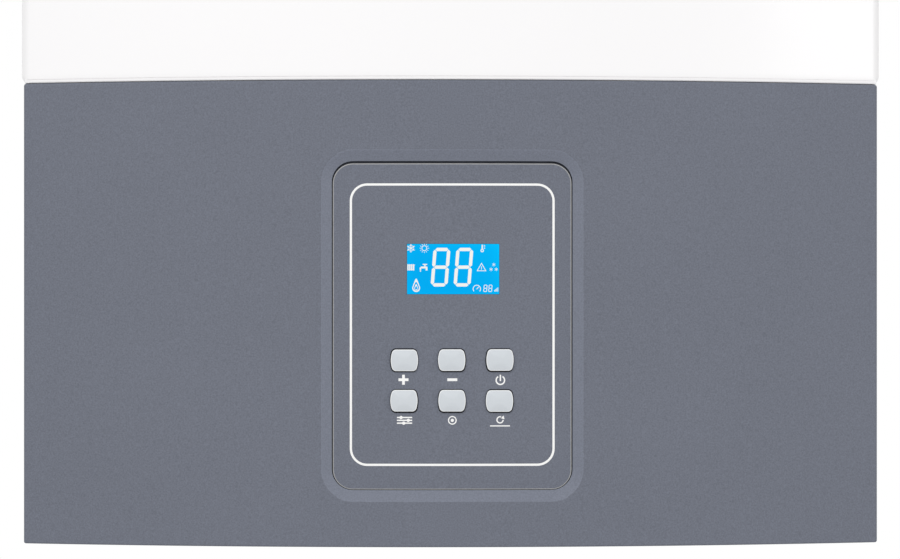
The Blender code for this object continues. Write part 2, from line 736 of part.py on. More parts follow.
def make_control_panel():
    """The insert: a plate that fills the opening, hollow behind, with a rim behind the fascia's pad."""
    skirt = 0.004
    rim_margin = 0.004
    rim_sheet = 0.0015
    rim_front = PAD_BACK - SEAT_GAP
    rim_back = rim_front - rim_sheet
    panel = box(
        "control_panel", around(0, PANEL_WIDTH), (rim_back, PANEL_FRONT), around(PANEL_Z, PANEL_HEIGHT),
        PANEL_RADIUS, "y", 3,
    )
    join(panel, box(
        "panel_rim", around(0, PANEL_WIDTH + 2 * rim_margin), (rim_back, rim_front),
        around(PANEL_Z, PANEL_HEIGHT + 2 * rim_margin), PANEL_RADIUS, "y", 3,
    ))
    cut(panel, box(
        "panel_hollow", around(0, PANEL_WIDTH - 2 * skirt), (rim_back - OVERRUN, PANEL_BACK),
        around(PANEL_Z, PANEL_HEIGHT - 2 * skirt), PANEL_RADIUS - skirt / 2, "y", 3,
    ))
    for i, (x, z) in enumerate(post_places()):
        start = at(x, EDGE_DEPTH - BOARD_BACKSET + SEAT_GAP, z)
        end = at(x, PANEL_BACK + PANEL_WALL / 2, z)
        join(panel, rod(f"panel_post_{i}", start, end, POST_RADIUS, 10))
    window_z = around(PANEL_Z + DISPLAY_RISE, DISPLAY_HEIGHT)
    through = (PANEL_BACK - OVERRUN, PANEL_FRONT + OVERRUN)
    cut(panel, box("display_hole", around(0, DISPLAY_WIDTH), through, window_z))
    for name, x, z in button_grid():
        cut(panel, box(
            name + "_hole", around(x, BUTTON_WIDTH + 2 * BUTTON_CLEARANCE), through,
            around(z, BUTTON_HEIGHT + 2 * BUTTON_CLEARANCE), BUTTON_HEIGHT / 5, "y",
        ))
    return dress(bow_front(panel, 0), "grey_fascia")


def make_display_lens():
    sunk = 0.0003
    lens = box(
        "display_lens", around(0, DISPLAY_WIDTH - 2 * SEAT_GAP),
        (PANEL_FRONT - sunk - LENS_WALL, PANEL_FRONT - sunk),
        around(PANEL_Z + DISPLAY_RISE, DISPLAY_HEIGHT - 2 * SEAT_GAP), SEAT_GAP, "y", 1,
    )
    return dress(bow_front(lens, 0), "display_blue")


def make_button(name, x, z):
    """A crowned cap with a rim that stops it behind the panel, and a stem that meets its switch."""
    rim_gap = 0.0005
    stem_length = 0.0025
    crown = 0.0006
    out = bow(x)
    front = PANEL_FRONT + BUTTON_PROUD + out
    rim_front = PANEL_BACK - rim_gap + out
    rim_back = rim_front - BUTTON_RIM
    spans = (around(x, BUTTON_WIDTH), (rim_back, front), around(z, BUTTON_HEIGHT))
    form = cube_form(*spans)
    round_edges(form, edges_along(form, AXES["y"]), BUTTON_HEIGHT / 5, 2)
    cap_face = min(form.faces, key=lambda face: face.normal.y)
    round_edges(form, list(cap_face.edges), crown, 1)
    cap = object_from(name, form, centre_of(*spans))
    rim_width = BUTTON_WIDTH + 2 * BUTTON_RIM + 2 * BUTTON_CLEARANCE
    rim_height = BUTTON_HEIGHT + 2 * BUTTON_RIM + 2 * BUTTON_CLEARANCE
    join(cap, box(name + "_rim", around(x, rim_width), (rim_back, rim_front), around(z, rim_height)))
    start = at(x, rim_back - stem_length, z)
    end = at(x, rim_back + BUTTON_RIM / 2, z)
    join(cap, rod(name + "_stem", start, end, BUTTON_HEIGHT / 6, 10))
    return dress(move_origin(cap, at(x, front, z)), "button_grey")


def make_display_board():
    """The board behind the panel, with the display module and six switches standing on it."""
    switch_size = 0.006
    switch_height = 0.0018
    module_margin = 0.003
    lens_back = PANEL_FRONT - LENS_WALL + bow(DISPLAY_WIDTH / 2)
    module_front = lens_back - 3 * SEAT_GAP
    margin = 3 * POST_RADIUS
    board = box(
        "display_board", around(0, 2 * POST_X + margin), (BOARD_FRONT - BOARD_SHEET, BOARD_FRONT),
        around(PANEL_Z, 2 * POST_Z + margin),
    )
    root = BOARD_FRONT - BOARD_SHEET / 2
    join(board, box(
        "display_module", around(0, DISPLAY_WIDTH + 2 * module_margin), (root, module_front),
        around(PANEL_Z + DISPLAY_RISE, DISPLAY_HEIGHT + 2 * module_margin),
    ))
    for name, x, z in button_grid():
        depth_span = (root, BOARD_FRONT + switch_height)
        join(board, box(name + "_switch", around(x, switch_size), depth_span, around(z, switch_size)))
    return dress(board, "board_green")


# Control box

LID_SHEET = 0.002


def make_control_box_tray():
    tray = case(
        "control_box_tray", (-TRAY_HALF, TRAY_HALF), (TRAY_BACK, TRAY_FRONT), (TRAY_BASE, TRAY_TOP),
        ("+y",), TRAY_WALL,
    )
    cut(tray, box(
        "display_window", around(0, 2 * POST_X), (TRAY_FRONT - TRAY_WALL - OVERRUN, TRAY_FRONT + OVERRUN),
        around(PANEL_Z, 2 * POST_Z - 6 * POST_RADIUS), POST_RADIUS, "y",
    ))
    for i, (x_side, z) in enumerate(board_places()):
        start = at(x_side * BOARD_POST_X, BOARD_POST_BACK, z)
        end = at(x_side * BOARD_POST_X, TRAY_FRONT - TRAY_WALL / 2, z)
        join(tray, rod(f"board_post_{i}", start, end, POST_RADIUS, 10))
    for side in (-1, 1):
        x_span = sorted((side * (TRAY_HALF - LUG_WIDTH), side * TRAY_HALF))
        lug = box(
            f"lug_{side}", x_span, around(HINGE_DEPTH, 2 * LUG_RADIUS),
            (HINGE_Z - LUG_RADIUS, TRAY_BASE + TRAY_WALL), LUG_RADIUS - SEAT_GAP, "x", 3,
        )
        join(tray, lug)
        start = at(side * (TRAY_HALF - LUG_WIDTH - OVERRUN), HINGE_DEPTH, HINGE_Z)
        end = at(side * (TRAY_HALF + OVERRUN), HINGE_DEPTH, HINGE_Z)
        cut(tray, rod(f"lug_hole_{side}", start, end, PIN_RADIUS + SEAT_GAP))
    return dress(move_origin(tray, at(0, HINGE_DEPTH, HINGE_Z)), "black_plastic")


BOARD_POST_INSET = 0.044
BOARD_POST_LENGTH = 0.0095
BOARD_POST_X = TRAY_HALF - BOARD_POST_INSET
BOARD_POST_BACK = TRAY_FRONT - TRAY_WALL - BOARD_POST_LENGTH
MAIN_BOARD_SHEET = 0.0016


def board_places():
    inset = 2 * BOSS_Z_INSET
    return [(x_side, z) for x_side in (-1, 1) for z in (TRAY_BASE + inset, TRAY_TOP - inset)]


def make_control_box_lid():
    back = TRAY_BACK - SEAT_GAP
    lid = box(
        "control_box_lid", (-TRAY_HALF, TRAY_HALF), (back - LID_SHEET, back), (TRAY_BASE, TRAY_TOP),
        TRAY_WALL, "y",
    )
    inner_half = TRAY_HALF - TRAY_WALL - SEAT_GAP
    rib = box(
        "lid_rib", (-inner_half, inner_half), (back - LID_SHEET / 2, back + LID_SHEET),
        (TRAY_BASE + TRAY_WALL + SEAT_GAP, TRAY_TOP - TRAY_WALL - SEAT_GAP),
    )
    wall = 2 * TRAY_WALL
    cut(rib, box(
        "lid_rib_hollow", (-inner_half + wall, inner_half - wall), (back, back + LID_SHEET + OVERRUN),
        (TRAY_BASE + TRAY_WALL + wall, TRAY_TOP - TRAY_WALL - wall),
    ))
    return dress(join(lid, rib), "black_plastic")


def make_main_board():
    """The mains board on the tray's posts, its tall components towards the lid."""
    front = BOARD_POST_BACK - SEAT_GAP
    back = front - MAIN_BOARD_SHEET
    margin = 0.008
    z_middle = (TRAY_BASE + TRAY_TOP) / 2
    width = 2 * (BOARD_POST_X + margin)
    height = TRAY_TOP - TRAY_BASE - 4 * BOSS_Z_INSET + 2 * margin
    board = box("main_board", around(0, width), (back, front), around(z_middle, height))
    room = back - TRAY_BACK
    component_shares = (
        ("transformer", -0.355, 0.18, 0.135, 0.28, 0.74),
        ("ignition_coil", 0.34, 0.22, 0.15, 0.22, 0.59),
        ("relay_1", -0.152, -0.25, 0.064, 0.125, 0.37),
        ("relay_2", -0.068, -0.25, 0.064, 0.125, 0.37),
        ("relay_3", 0.017, -0.25, 0.064, 0.125, 0.37),
        ("fan_driver", 0.152, 0.167, 0.081, 0.167, 0.30),
        ("terminals", 0.287, -0.317, 0.236, 0.10, 0.30),
        ("pump_terminals", -0.338, -0.317, 0.169, 0.10, 0.30),
    )
    for name, x, rise, long_side, short_side, depth in component_shares:
        join(board, box(
            name, around(x * width, long_side * width), (back - depth * room, back + MAIN_BOARD_SHEET / 2),
            around(z_middle + rise * height, short_side * height), SHEET, "y", 1,
        ))
    capacitor_radius = 0.008
    capacitor_height = 0.022
    capacitor_shares = (-0.19, -0.10)
    z = z_middle + height / 6
    for i, share in enumerate(capacitor_shares):
        start = at(share * width, back - capacitor_height, z)
        end = at(share * width, back + MAIN_BOARD_SHEET / 2, z)
        join(board, rod(f"capacitor_{i}", start, end, capacitor_radius))
    return dress(board, "board_green")


def make_hinge_pin(name, side):
    head_radius = 0.004
    head = 0.0015
    inner = TRAY_HALF - LUG_WIDTH - SHEET
    outer = EAR_X + EAR_WIDTH + SEAT_GAP
    profile = (
        (0, outer + head), (head_radius, outer + head), (head_radius, outer), (PIN_RADIUS, outer),
        (PIN_RADIUS, inner + SHEET / 2), (PIN_RADIUS - SHEET / 2, inner), (0, inner),
    )
    return dress(turned(name, profile, at(0, HINGE_DEPTH, HINGE_Z), (side, 0, 0), 16), "steel")


# Sealed chamber

def make_chamber_shell():
    shell = case(
        "chamber_shell", (-CHAMBER_HALF, CHAMBER_HALF), (CHAMBER_BACK, CHAMBER_FRONT),
        (CHAMBER_BASE, CHAMBER_TOP), ("-y",), SHEET,
    )
    low = CHAMBER_BASE - OVERRUN
    high = CHAMBER_BASE + SHEET + OVERRUN
    for name, x, depth, radius in (
        ("flow_hole", -PIPE_X, PIPE_DEPTH, PIPE_RADIUS),
        ("return_hole", PIPE_X, PIPE_DEPTH, PIPE_RADIUS),
        ("gas_hole", 0, GAS_PIPE_DEPTH, GAS_PIPE_RADIUS),
    ):
        cut(shell, rod(name, at(x, depth, low), at(x, depth, high), radius + SEAT_GAP))
    top = CHAMBER_TOP - SHEET - OVERRUN
    cut(shell, rod(
        "collar_hole", at(0, FLUE_DEPTH, top), at(0, FLUE_DEPTH, CHAMBER_TOP + OVERRUN),
        COLLAR_RADIUS + SEAT_GAP, 32,
    ))
    return dress(shell, "aluminised")


def make_chamber_seal():
    depth_span = (CHAMBER_FRONT + SEAT_GAP, CHAMBER_FRONT + SEAT_GAP + SEAL_DEPTH)
    seal = box("chamber_seal", (-CHAMBER_HALF, CHAMBER_HALF), depth_span, (CHAMBER_BASE, CHAMBER_TOP))
    inner = CHAMBER_HALF - SEAL_WIDTH
    cut(seal, box(
        "seal_hollow", (-inner, inner), (depth_span[0] - OVERRUN, depth_span[1] + OVERRUN),
        (CHAMBER_BASE + SEAL_WIDTH, CHAMBER_TOP - SEAL_WIDTH),
    ))
    return dress(seal, "silicone")


SIGHT_DROP = 0.020
SIGHT_Z = FIRE_BASE - SIGHT_DROP
SIGHT_RADIUS = 0.011
COVER_PLATE_BACK = CHAMBER_FRONT + 2 * SEAT_GAP + SEAL_DEPTH


def make_chamber_cover():
    margin = SEAT_GAP + SHEET
    rim = 0.007
    cover = case(
        "chamber_cover", (-CHAMBER_HALF - margin, CHAMBER_HALF + margin),
        (COVER_PLATE_BACK - rim, COVER_PLATE_BACK + SHEET), (CHAMBER_BASE - margin, CHAMBER_TOP + margin),
        ("+y",), SHEET,
    )
    start = at(0, COVER_PLATE_BACK - OVERRUN, SIGHT_Z)
    end = at(0, COVER_PLATE_BACK + SHEET + OVERRUN, SIGHT_Z)
    cut(cover, rod("sight_hole", start, end, SIGHT_RADIUS + SEAT_GAP, 20))
    return dress(cover, "aluminised")


def make_sight_glass():
    flange_margin = 0.004
    thick = 0.003
    flange = SIGHT_RADIUS + flange_margin
    front = COVER_PLATE_BACK + SHEET + SEAT_GAP
    back = COVER_PLATE_BACK - SHEET
    profile = (
        (0, front + thick), (flange - SHEET, front + thick), (flange, front + thick - SHEET),
        (flange, front), (SIGHT_RADIUS, front), (SIGHT_RADIUS, back), (0, back),
    )
    return dress(turned("sight_glass", profile, at(0, 0, SIGHT_Z), (0, -1, 0)), "glass")


# Burning and heat exchange

ELECTRODE_RADIUS = 0.0035
ELECTRODE_X = 0.045
ELECTRODE_RISE = 0.010


def electrode_holes(piece, label, depth_span):
    z = FIRE_BASE + ELECTRODE_RISE
    for i, x in enumerate((-ELECTRODE_X, ELECTRODE_X)):
        start = at(x, depth_span[0], z)
        cut(piece, rod(f"{label}_{i}", start, at(x, depth_span[1], z), ELECTRODE_RADIUS + SEAT_GAP))


def make_combustion_box():
    fire = case(
        "combustion_box", (-FIRE_HALF, FIRE_HALF), (FIRE_BACK, FIRE_FRONT), (FIRE_BASE, FIRE_TOP),
        ("+z", "-z"), SHEET,
    )
    electrode_holes(fire, "box_electrode", (FIRE_FRONT - SHEET - OVERRUN, FIRE_FRONT + OVERRUN))
    return dress(fire, "aluminised")


def make_fire_insulation():
    margin = SHEET + SEAT_GAP
    depth_span = (FIRE_BACK + margin, FIRE_FRONT - margin)
    lining = case(
        "fire_insulation", (-FIRE_HALF + margin, FIRE_HALF - margin), depth_span,
        (FIRE_BASE + SEAT_GAP, FIRE_TOP - SEAT_GAP), ("+z", "-z"), FIBRE,
    )
    electrode_holes(lining, "lining_electrode", (FIRE_FRONT - FIBRE - 2 * OVERRUN, FIRE_FRONT))
    return dress(lining, "fibre")


def make_electrode(name, x):
    """A ceramic rod through the front of the combustion box, with its wire turned down to the burner."""
    z = FIRE_BASE + ELECTRODE_RISE
    head = 0.012
    reach = 0.025
    wire_radius = 0.0008
    inner = FIRE_FRONT - SHEET - FIBRE - 2 * OVERRUN
    collar = FIRE_FRONT + SEAT_GAP
    electrode = rod(name, at(x, inner, z), at(x, collar + head, z), ELECTRODE_RADIUS)
    collar_end = at(x, collar + SEAL_DEPTH, z)
    join(electrode, rod(name + "_collar", at(x, collar, z), collar_end, 2 * ELECTRODE_RADIUS))
    tip = at(x, inner - reach, z - ELECTRODE_RISE / 2)
    points = [at(x, inner + OVERRUN, z), at(x, inner - reach / 2, z), tip]
    join(electrode, swept(name + "_wire", points, wire_radius))
    return dress(electrode, "ceramic")


BURNER_INSET = 0.010


def make_burner():
    """Two end rails with a row of flat burner blades between them."""
    blades = 12
    rail = 0.005
    blade_width = 0.009
    top = FIRE_BASE - SEAT_GAP
    half = FIRE_HALF - BURNER_INSET
    blade_share = 0.9
    z_span = (top - BURNER_HEIGHT, top)
    burner = box("burner", (-half, half), (FIRE_BACK, FIRE_BACK + rail), z_span)
    join(burner, box("burner_front_rail", (-half, half), (FIRE_FRONT - rail, FIRE_FRONT), z_span))
    for i in range(blades):
        x = half * (2 * i + 1 - blades) / blades
        join(burner, box(
            f"burner_blade_{i}", around(x, blade_width), (FIRE_BACK + rail / 2, FIRE_FRONT - rail / 2),
            (top - BURNER_HEIGHT * blade_share, top - SHEET), blade_width / 3, "y", 1,
        ))
    return dress(burner, "steel")


NOZZLE_Z = FIRE_BASE - SEAT_GAP - BURNER_HEIGHT - SEAT_GAP
MANIFOLD_TUBE = 0.008
NOZZLE_LENGTH = 0.006
GAS_RAIL_Z = NOZZLE_Z - NOZZLE_LENGTH - MANIFOLD_TUBE


def make_burner_manifold():
    """The gas rail under the burner, with an injector below each blade."""
    nozzles = 12
    half = FIRE_HALF - BURNER_INSET
    nozzle_radius = 0.003
    left = at(-half, GAS_PIPE_DEPTH, GAS_RAIL_Z)
    rail = rod("burner_manifold", left, at(half, GAS_PIPE_DEPTH, GAS_RAIL_Z), MANIFOLD_TUBE)
    for i in range(nozzles):
        x = half * (2 * i + 1 - nozzles) / nozzles
        start = at(x, GAS_PIPE_DEPTH, GAS_RAIL_Z + MANIFOLD_TUBE / 2)
        join(rail, rod(f"nozzle_{i}", start, at(x, GAS_PIPE_DEPTH, NOZZLE_Z), nozzle_radius, 6))
    return dress(rail, "brass")


PORT_END = PIPE_X - PIPE_BEND
CORE_SHARE = 0.3
EXCHANGER_PORT_Z = EXCHANGER_BASE + EXCHANGER_HEIGHT * CORE_SHARE / 2


def make_heat_exchanger():
    """A finned block, drawn as a comb of fins on a base, with its return bends and ports."""
    fins = 16
    fin_share = 0.16
    end_plate = 0.002
    bend_share = 1.4
    core_base = EXCHANGER_BASE + EXCHANGER_HEIGHT * CORE_SHARE
    bend_radius = 0.006
    bend_pitch = 0.033
    pitch = 2 * (FIRE_HALF - end_plate) / fins
    slot = pitch * (1 - fin_share)
    outline = [(-FIRE_HALF, EXCHANGER_BASE), (FIRE_HALF, EXCHANGER_BASE), (FIRE_HALF, EXCHANGER_TOP)]
    for i in reversed(range(fins)):
        x = -FIRE_HALF + end_plate + (i + 0.5) * pitch
        outline += [(x + slot / 2, EXCHANGER_TOP), (x + slot / 2, core_base)]
        outline += [(x - slot / 2, core_base), (x - slot / 2, EXCHANGER_TOP)]
    outline += [(-FIRE_HALF, EXCHANGER_TOP)]
    block = flat("heat_exchanger", outline, at(0, FIRE_MID_DEPTH, 0), FIRE_FRONT - FIRE_BACK, upright=True)
    low = EXCHANGER_PORT_Z
    for side in (-1, 1):
        start = at(side * (FIRE_HALF - end_plate), PIPE_DEPTH, low)
        join(block, rod(f"exchanger_port_{side}", start, at(side * PORT_END, PIPE_DEPTH, low), PIPE_RADIUS))
        for i in range(2):
            depth = FIRE_BACK + 2 * bend_radius + i * bend_pitch
            rear = depth + 3 * bend_radius
            out = side * (FIRE_HALF + 2 * bend_radius)
            root = side * (FIRE_HALF - end_plate / 3)
            run = [at(root, depth, low), at(out, depth, low), at(out, rear, low), at(root, rear, low)]
            bend = swept(f"return_bend_{side}_{i}", run, bend_radius, bend_share * bend_radius)
            boolean(block, bend, "UNION", "MANIFOLD")
    return dress(block, "copper")


def tapered(name, half_base, base_depths, half_top, z_span):
    """A block whose top is drawn in to a square round the fan's axis."""
    x_span = (-half_base, half_base)
    form = cube_form(x_span, base_depths, z_span)
    middle = centre_of(x_span, base_depths, z_span)
    for vert in form.verts:
        if vert.co.z > 0:
            vert.co.x = FAN_X - middle.x + math.copysign(half_top, vert.co.x)
            vert.co.y = -FAN_DEPTH - middle.y + math.copysign(half_top, vert.co.y)
    return object_from(name, form, middle)


def make_flue_hood():
    """A sheet hood that gathers the exchanger's whole top into the fan's inlet."""
    inlet_margin = 0.018
    half_top = INLET_RADIUS + inlet_margin
    wall = 2 * SHEET
    base = EXCHANGER_TOP + SEAT_GAP
    hood = tapered("flue_hood", FIRE_HALF, (FIRE_BACK, FIRE_FRONT), half_top, (base, HOOD_TOP))
    cut(hood, tapered(
        "hood_hollow", FIRE_HALF - wall, (FIRE_BACK + SHEET, FIRE_FRONT - SHEET), half_top - wall,
        (base - SHEET / 2, HOOD_TOP - SHEET),
    ))
    low = HOOD_TOP - SHEET - OVERRUN
    high = HOOD_TOP + OVERRUN
    cut(hood, rod("hood_outlet", at(FAN_X, FAN_DEPTH, low), at(FAN_X, FAN_DEPTH, high), INLET_RADIUS, 24))
    return dress(hood, "aluminised")


SCROLL_WALL = 0.0015
SHAFT_RADIUS = 0.003


def make_fan_housing():
    """A spiral case round the fan, and a straight duct that leaves it towards the flue's elbow."""
    def scroll(name, wall, z_span, end_x):
        place = at(FAN_X, FAN_DEPTH, sum(z_span) / 2)
        spiral = flat(name, scroll_points(wall), place, z_span[1] - z_span[0])
        duct = box(name + "_duct", (FAN_X, end_x), around(FLUE_DEPTH, 2 * (FLUE_RADIUS - wall)), z_span)
        return join(spiral, duct)

    housing = scroll("fan_housing", 0, (SCROLL_BASE, SCROLL_TOP), OUTLET_X)
    inner = (SCROLL_BASE + SCROLL_WALL, SCROLL_TOP - SCROLL_WALL)
    cut(housing, scroll("scroll_hollow", SCROLL_WALL, inner, OUTLET_X + OVERRUN))
    shaft_hole = 2 * SCROLL_WALL + SHAFT_RADIUS
    holes = (("scroll_inlet", SCROLL_BASE, INLET_RADIUS), ("scroll_top", SCROLL_TOP, shaft_hole))
    for name, z, radius in holes:
        start = at(FAN_X, FAN_DEPTH, z - OVERRUN)
        cut(housing, rod(name, start, at(FAN_X, FAN_DEPTH, z + OVERRUN), radius, 24))
    return dress(housing, "aluminium")


def scroll_points(wall):
    """The spiral from above: it widens as it runs forward and round to the rear, where the duct meets it."""
    steps = 20
    outline = []
    start_angle = math.radians(20)
    sweep = math.radians(290)
    for i in range(steps + 1):
        share = i / steps
        angle = start_angle - share * sweep
        radius = SCROLL_START + SCROLL_GROWTH * share - wall
        outline.append((radius * math.cos(angle), radius * math.sin(angle)))
    return outline


def make_fan_wheel():
    blades = 14
    disc = 0.002
    hub_radius = 0.008
    inlet_room = 0.010
    top_room = 0.015
    low = SCROLL_BASE + inlet_room
    high = SCROLL_TOP - top_room
    blade_length = 0.010
    blade_sheet = 0.0012
    place = at(FAN_X, FAN_DEPTH, 0)
    disc_top = place + Vector((0, 0, high))
    wheel = rod("fan_wheel", disc_top - Vector((0, 0, disc)), disc_top, FAN_RADIUS, 28)
    for i in range(blades):
        angle = 2 * math.pi * i / blades
        form = cube_form((0, blade_length), (0, blade_sheet), (low, high - disc / 2))
        out = Matrix.Translation((FAN_RADIUS - blade_length / 2 - SHEET, 0, 0))
        lean = Matrix.Rotation(math.radians(40), 4, "Z")
        turn = Matrix.Rotation(angle, 4, "Z") @ out @ lean
        bmesh.ops.transform(form, matrix=turn, verts=form.verts)
        middle = place + Vector((0, 0, (low + high - disc / 2) / 2))
        join(wheel, object_from(f"fan_blade_{i}", form, middle))
    shaft_top = SCROLL_TOP + MOTOR_SEAT
    middle = place + Vector((0, 0, high - disc / 2))
    join(wheel, rod("fan_shaft", middle, place + Vector((0, 0, shaft_top)), SHAFT_RADIUS))
    join(wheel, rod("fan_hub", place + Vector((0, 0, high - 4 * disc)), middle, hub_radius))
    return dress(move_origin(wheel, at(FAN_X, FAN_DEPTH, high)), "aluminium")


MOTOR_SEAT = 0.012


def make_fan_motor():
    """The fan's motor on top of the scroll, with a blind bearing for the shaft."""
    radius = 0.032
    height = 0.042
    foot = 0.036
    base = SCROLL_TOP + SEAT_GAP
    bore = SHAFT_RADIUS + SEAT_GAP
    roof = MOTOR_SEAT + 2 * SHEET
    profile = (
        (0, height), (radius * 0.6, height), (radius, height * 0.86), (radius, height * 0.2),
        (foot, height * 0.2), (foot, 0), (bore, 0), (bore, roof), (0, roof),
    )
    return dress(turned("fan_motor", profile, at(FAN_X, FAN_DEPTH, base)), "steel")


ELBOW_TOP = ELBOW_Z + 2 * FLUE_RADIUS + ELBOW_COLLAR


def make_flue_elbow():
    bend = FLUE_RADIUS + FLUE_WALL
    start = at(OUTLET_X + SEAT_GAP, FLUE_DEPTH, ELBOW_Z)
    run = [start, at(0, FLUE_DEPTH, ELBOW_Z), at(0, FLUE_DEPTH, ELBOW_TOP)]
    elbow = swept("flue_elbow", run, FLUE_RADIUS, bend, FLUE_RADIUS - FLUE_WALL, 6)
    return dress(elbow, "aluminium")


def make_flue_inner_pipe():
    low = ELBOW_TOP + SEAT_GAP
    high = TOP_Z + COLLAR_RISE
    inner = FLUE_RADIUS - FLUE_WALL
    profile = ((FLUE_RADIUS, high), (FLUE_RADIUS, low), (inner, low), (inner, high))
    return dress(turned("flue_inner_pipe", profile, at(0, FLUE_DEPTH, 0), steps=24), "aluminium")


def make_flue_collar():
    """The outer ring of the coaxial flue, with the flange that sits on the top panel."""
    flange = 0.064
    thick = 0.003
    rib = 0.002
    inner = COLLAR_RADIUS - FLUE_WALL
    high = TOP_Z + COLLAR_RISE
    base = TOP_Z + SEAT_GAP
    low = CHAMBER_TOP - SHEET - OVERRUN
    rib_z = base + COLLAR_RISE / 2
    profile = (
        (COLLAR_RADIUS, high), (COLLAR_RADIUS, rib_z + rib), (COLLAR_RADIUS + rib, rib_z),
        (COLLAR_RADIUS, rib_z - rib), (COLLAR_RADIUS, base + thick), (flange, base + thick), (flange, base),
        (COLLAR_RADIUS, base), (COLLAR_RADIUS, low), (inner, low), (inner, high),
    )
    return dress(turned("flue_collar", profile, at(0, FLUE_DEPTH, 0), steps=24), "white_enamel")


def make_air_pressure_switch():
    radius = 0.027
    thick = 0.018
    nozzle = 0.0025
    drop = 0.076
    wall = CHAMBER_HALF - SHEET - SEAT_GAP
    z = CHAMBER_TOP - drop
    profile = (
        (0, thick), (radius * 0.5, thick), (radius * 0.6, thick * 0.75), (radius * 0.9, thick * 0.7),
        (radius, thick * 0.5), (radius, thick * 0.2), (radius * 0.8, 0), (0, 0),
    )
    switch = turned("air_pressure_switch", profile, at(wall, FLUE_DEPTH, z), (-1, 0, 0))
    for i, rise in enumerate((-radius / 3, radius / 3)):
        start = at(wall - thick / 2, FLUE_DEPTH + rise, z)
        join(switch, rod(f"switch_nozzle_{i}", start, start + Vector((0, 0, -radius * 1.4)), nozzle, 8))
    return dress(switch, "grey_plastic")


# Water side

VESSEL_RADIUS = 0.160
VESSEL_Z = -0.200
VESSEL_FITTING = 0.008
HOSE_SHIFT = 0.003
HOSE_X = UNION_PITCH - HOSE_SHIFT
HOSE_RADIUS = 0.005


def make_expansion_vessel():
    """A flat round vessel between the frame and the chamber: two dished halves with a rolled seam."""
    back = FRAME_DEPTH + SEAT_GAP
    thick = CHAMBER_BACK - SEAT_GAP - back
    middle = thick / 2
    seam = 0.003
    wall = 0.0018
    rim = VESSEL_RADIUS - seam
    dish_shares = ((0.72, 1.0), (0.86, 0.93), (0.95, 0.75))
    front = [(VESSEL_RADIUS * out, thick * rise) for out, rise in dish_shares]
    rear = [(radius, thick - height) for radius, height in reversed(front)]
    seam_front = [(rim, middle + seam), (VESSEL_RADIUS, middle + seam)]
    seam_rear = [(VESSEL_RADIUS, middle - seam), (rim, middle - seam)]
    profile = [(0, thick)] + front + seam_front + seam_rear + rear + [(0, 0)]
    vessel = turned("expansion_vessel", profile, at(0, back, VESSEL_Z), (0, -1, 0), 24)
    low = VESSEL_Z - VESSEL_RADIUS
    inside = at(0, back + middle, low + 2 * VESSEL_FITTING)
    outside = at(0, back + middle, low - VESSEL_FITTING)
    join(vessel, rod("vessel_fitting", inside, outside, VESSEL_FITTING))
    hollow_front = [(radius - wall, height - wall) for radius, height in front]
    hollow_rear = [(radius, thick - height) for radius, height in reversed(hollow_front)]
    hollow = [(0, thick - wall)] + hollow_front + hollow_rear + [(0, wall)]
    cut(vessel, turned("vessel_hollow", hollow, at(0, back, VESSEL_Z), (0, -1, 0), 24))
    mouth = outside - Vector((0, 0, OVERRUN))
    cut(vessel, rod("vessel_bore", inside, mouth, VESSEL_FITTING - 2 * wall))
    return dress(vessel, "vessel_red")


def make_vessel_hose():
    depth = FRAME_DEPTH + SEAT_GAP + (CHAMBER_BACK - FRAME_DEPTH - 2 * SEAT_GAP) / 2
    start_z = VESSEL_Z - VESSEL_RADIUS - VESSEL_FITTING - SEAT_GAP
    run = [
        at(0, depth, start_z), at(0, depth, CHAMBER_BASE - PIPE_BEND),
        at(HOSE_X, UNION_DEPTH, CROSS_Z - PIPE_BEND), at(HOSE_X, UNION_DEPTH, MANIFOLD_TOP + SEAT_GAP),
    ]
    return dress(swept("vessel_hose", run, HOSE_RADIUS, PIPE_BEND), "steel")


def connection(name, x, radius, top):
    """A threaded stub that passes down through the bottom plate, with its hexagon above the plate."""
    base = BASE_Z - UNION_DROP
    stub = rod(name, at(x, UNION_DEPTH, base), at(x, UNION_DEPTH, top), radius, 16)
    hexagon_low = BASE_Z + BASE_RISE + SHEET + SEAT_GAP
    hexagon_top = at(x, UNION_DEPTH, hexagon_low + FOLD)
    join(stub, rod(name + "_hex", at(x, UNION_DEPTH, hexagon_low), hexagon_top, radius * HEXAGON_SHARE, 6))
    return stub


def bore_connection(piece, name, x, radius):
    """The bore that a pipe opens into, from the stub's end up."""
    base = BASE_Z - UNION_DROP
    bore = radius * UNION_BORE_SHARE
    length = MANIFOLD_RISE + UNION_DROP / 2
    cut(piece, rod(name, at(x, UNION_DEPTH, base - OVERRUN), at(x, UNION_DEPTH, base + length), bore, 16))


def make_manifold(name, side):
    """A brass block over two connections, bored for its stubs."""
    near = side * (UNION_PITCH - MANIFOLD_INNER_MARGIN)
    far = side * (2 * UNION_PITCH + MANIFOLD_MARGIN)
    block = box(
        name, sorted((near, far)), (MANIFOLD_BACK, MANIFOLD_FRONT), (MANIFOLD_BASE, MANIFOLD_TOP),
        CAST_EDGE, "xyz", 1,
    )
    index = {"flow_manifold": (0, 1), "return_manifold": (3, 4)}[name]
    for i in index:
        x, radius = UNIONS[i]
        join(block, connection(f"{name}_stub_{i}", x, radius, MANIFOLD_BASE + SHEET))
    for i in index:
        x, radius = UNIONS[i]
        bore_connection(block, f"{name}_bore_{i}", x, radius)
    return block


def make_flow_manifold():
    block = make_manifold("flow_manifold", -1)
    return dress(block, "brass")


VALVE_SHIFT = 0.012
VALVE_X = 2 * UNION_PITCH + VALVE_SHIFT
VALVE_Z = MANIFOLD_BASE + MANIFOLD_HEIGHT / 2
VALVE_REACH = 0.026
VALVE_RADIUS = 0.011


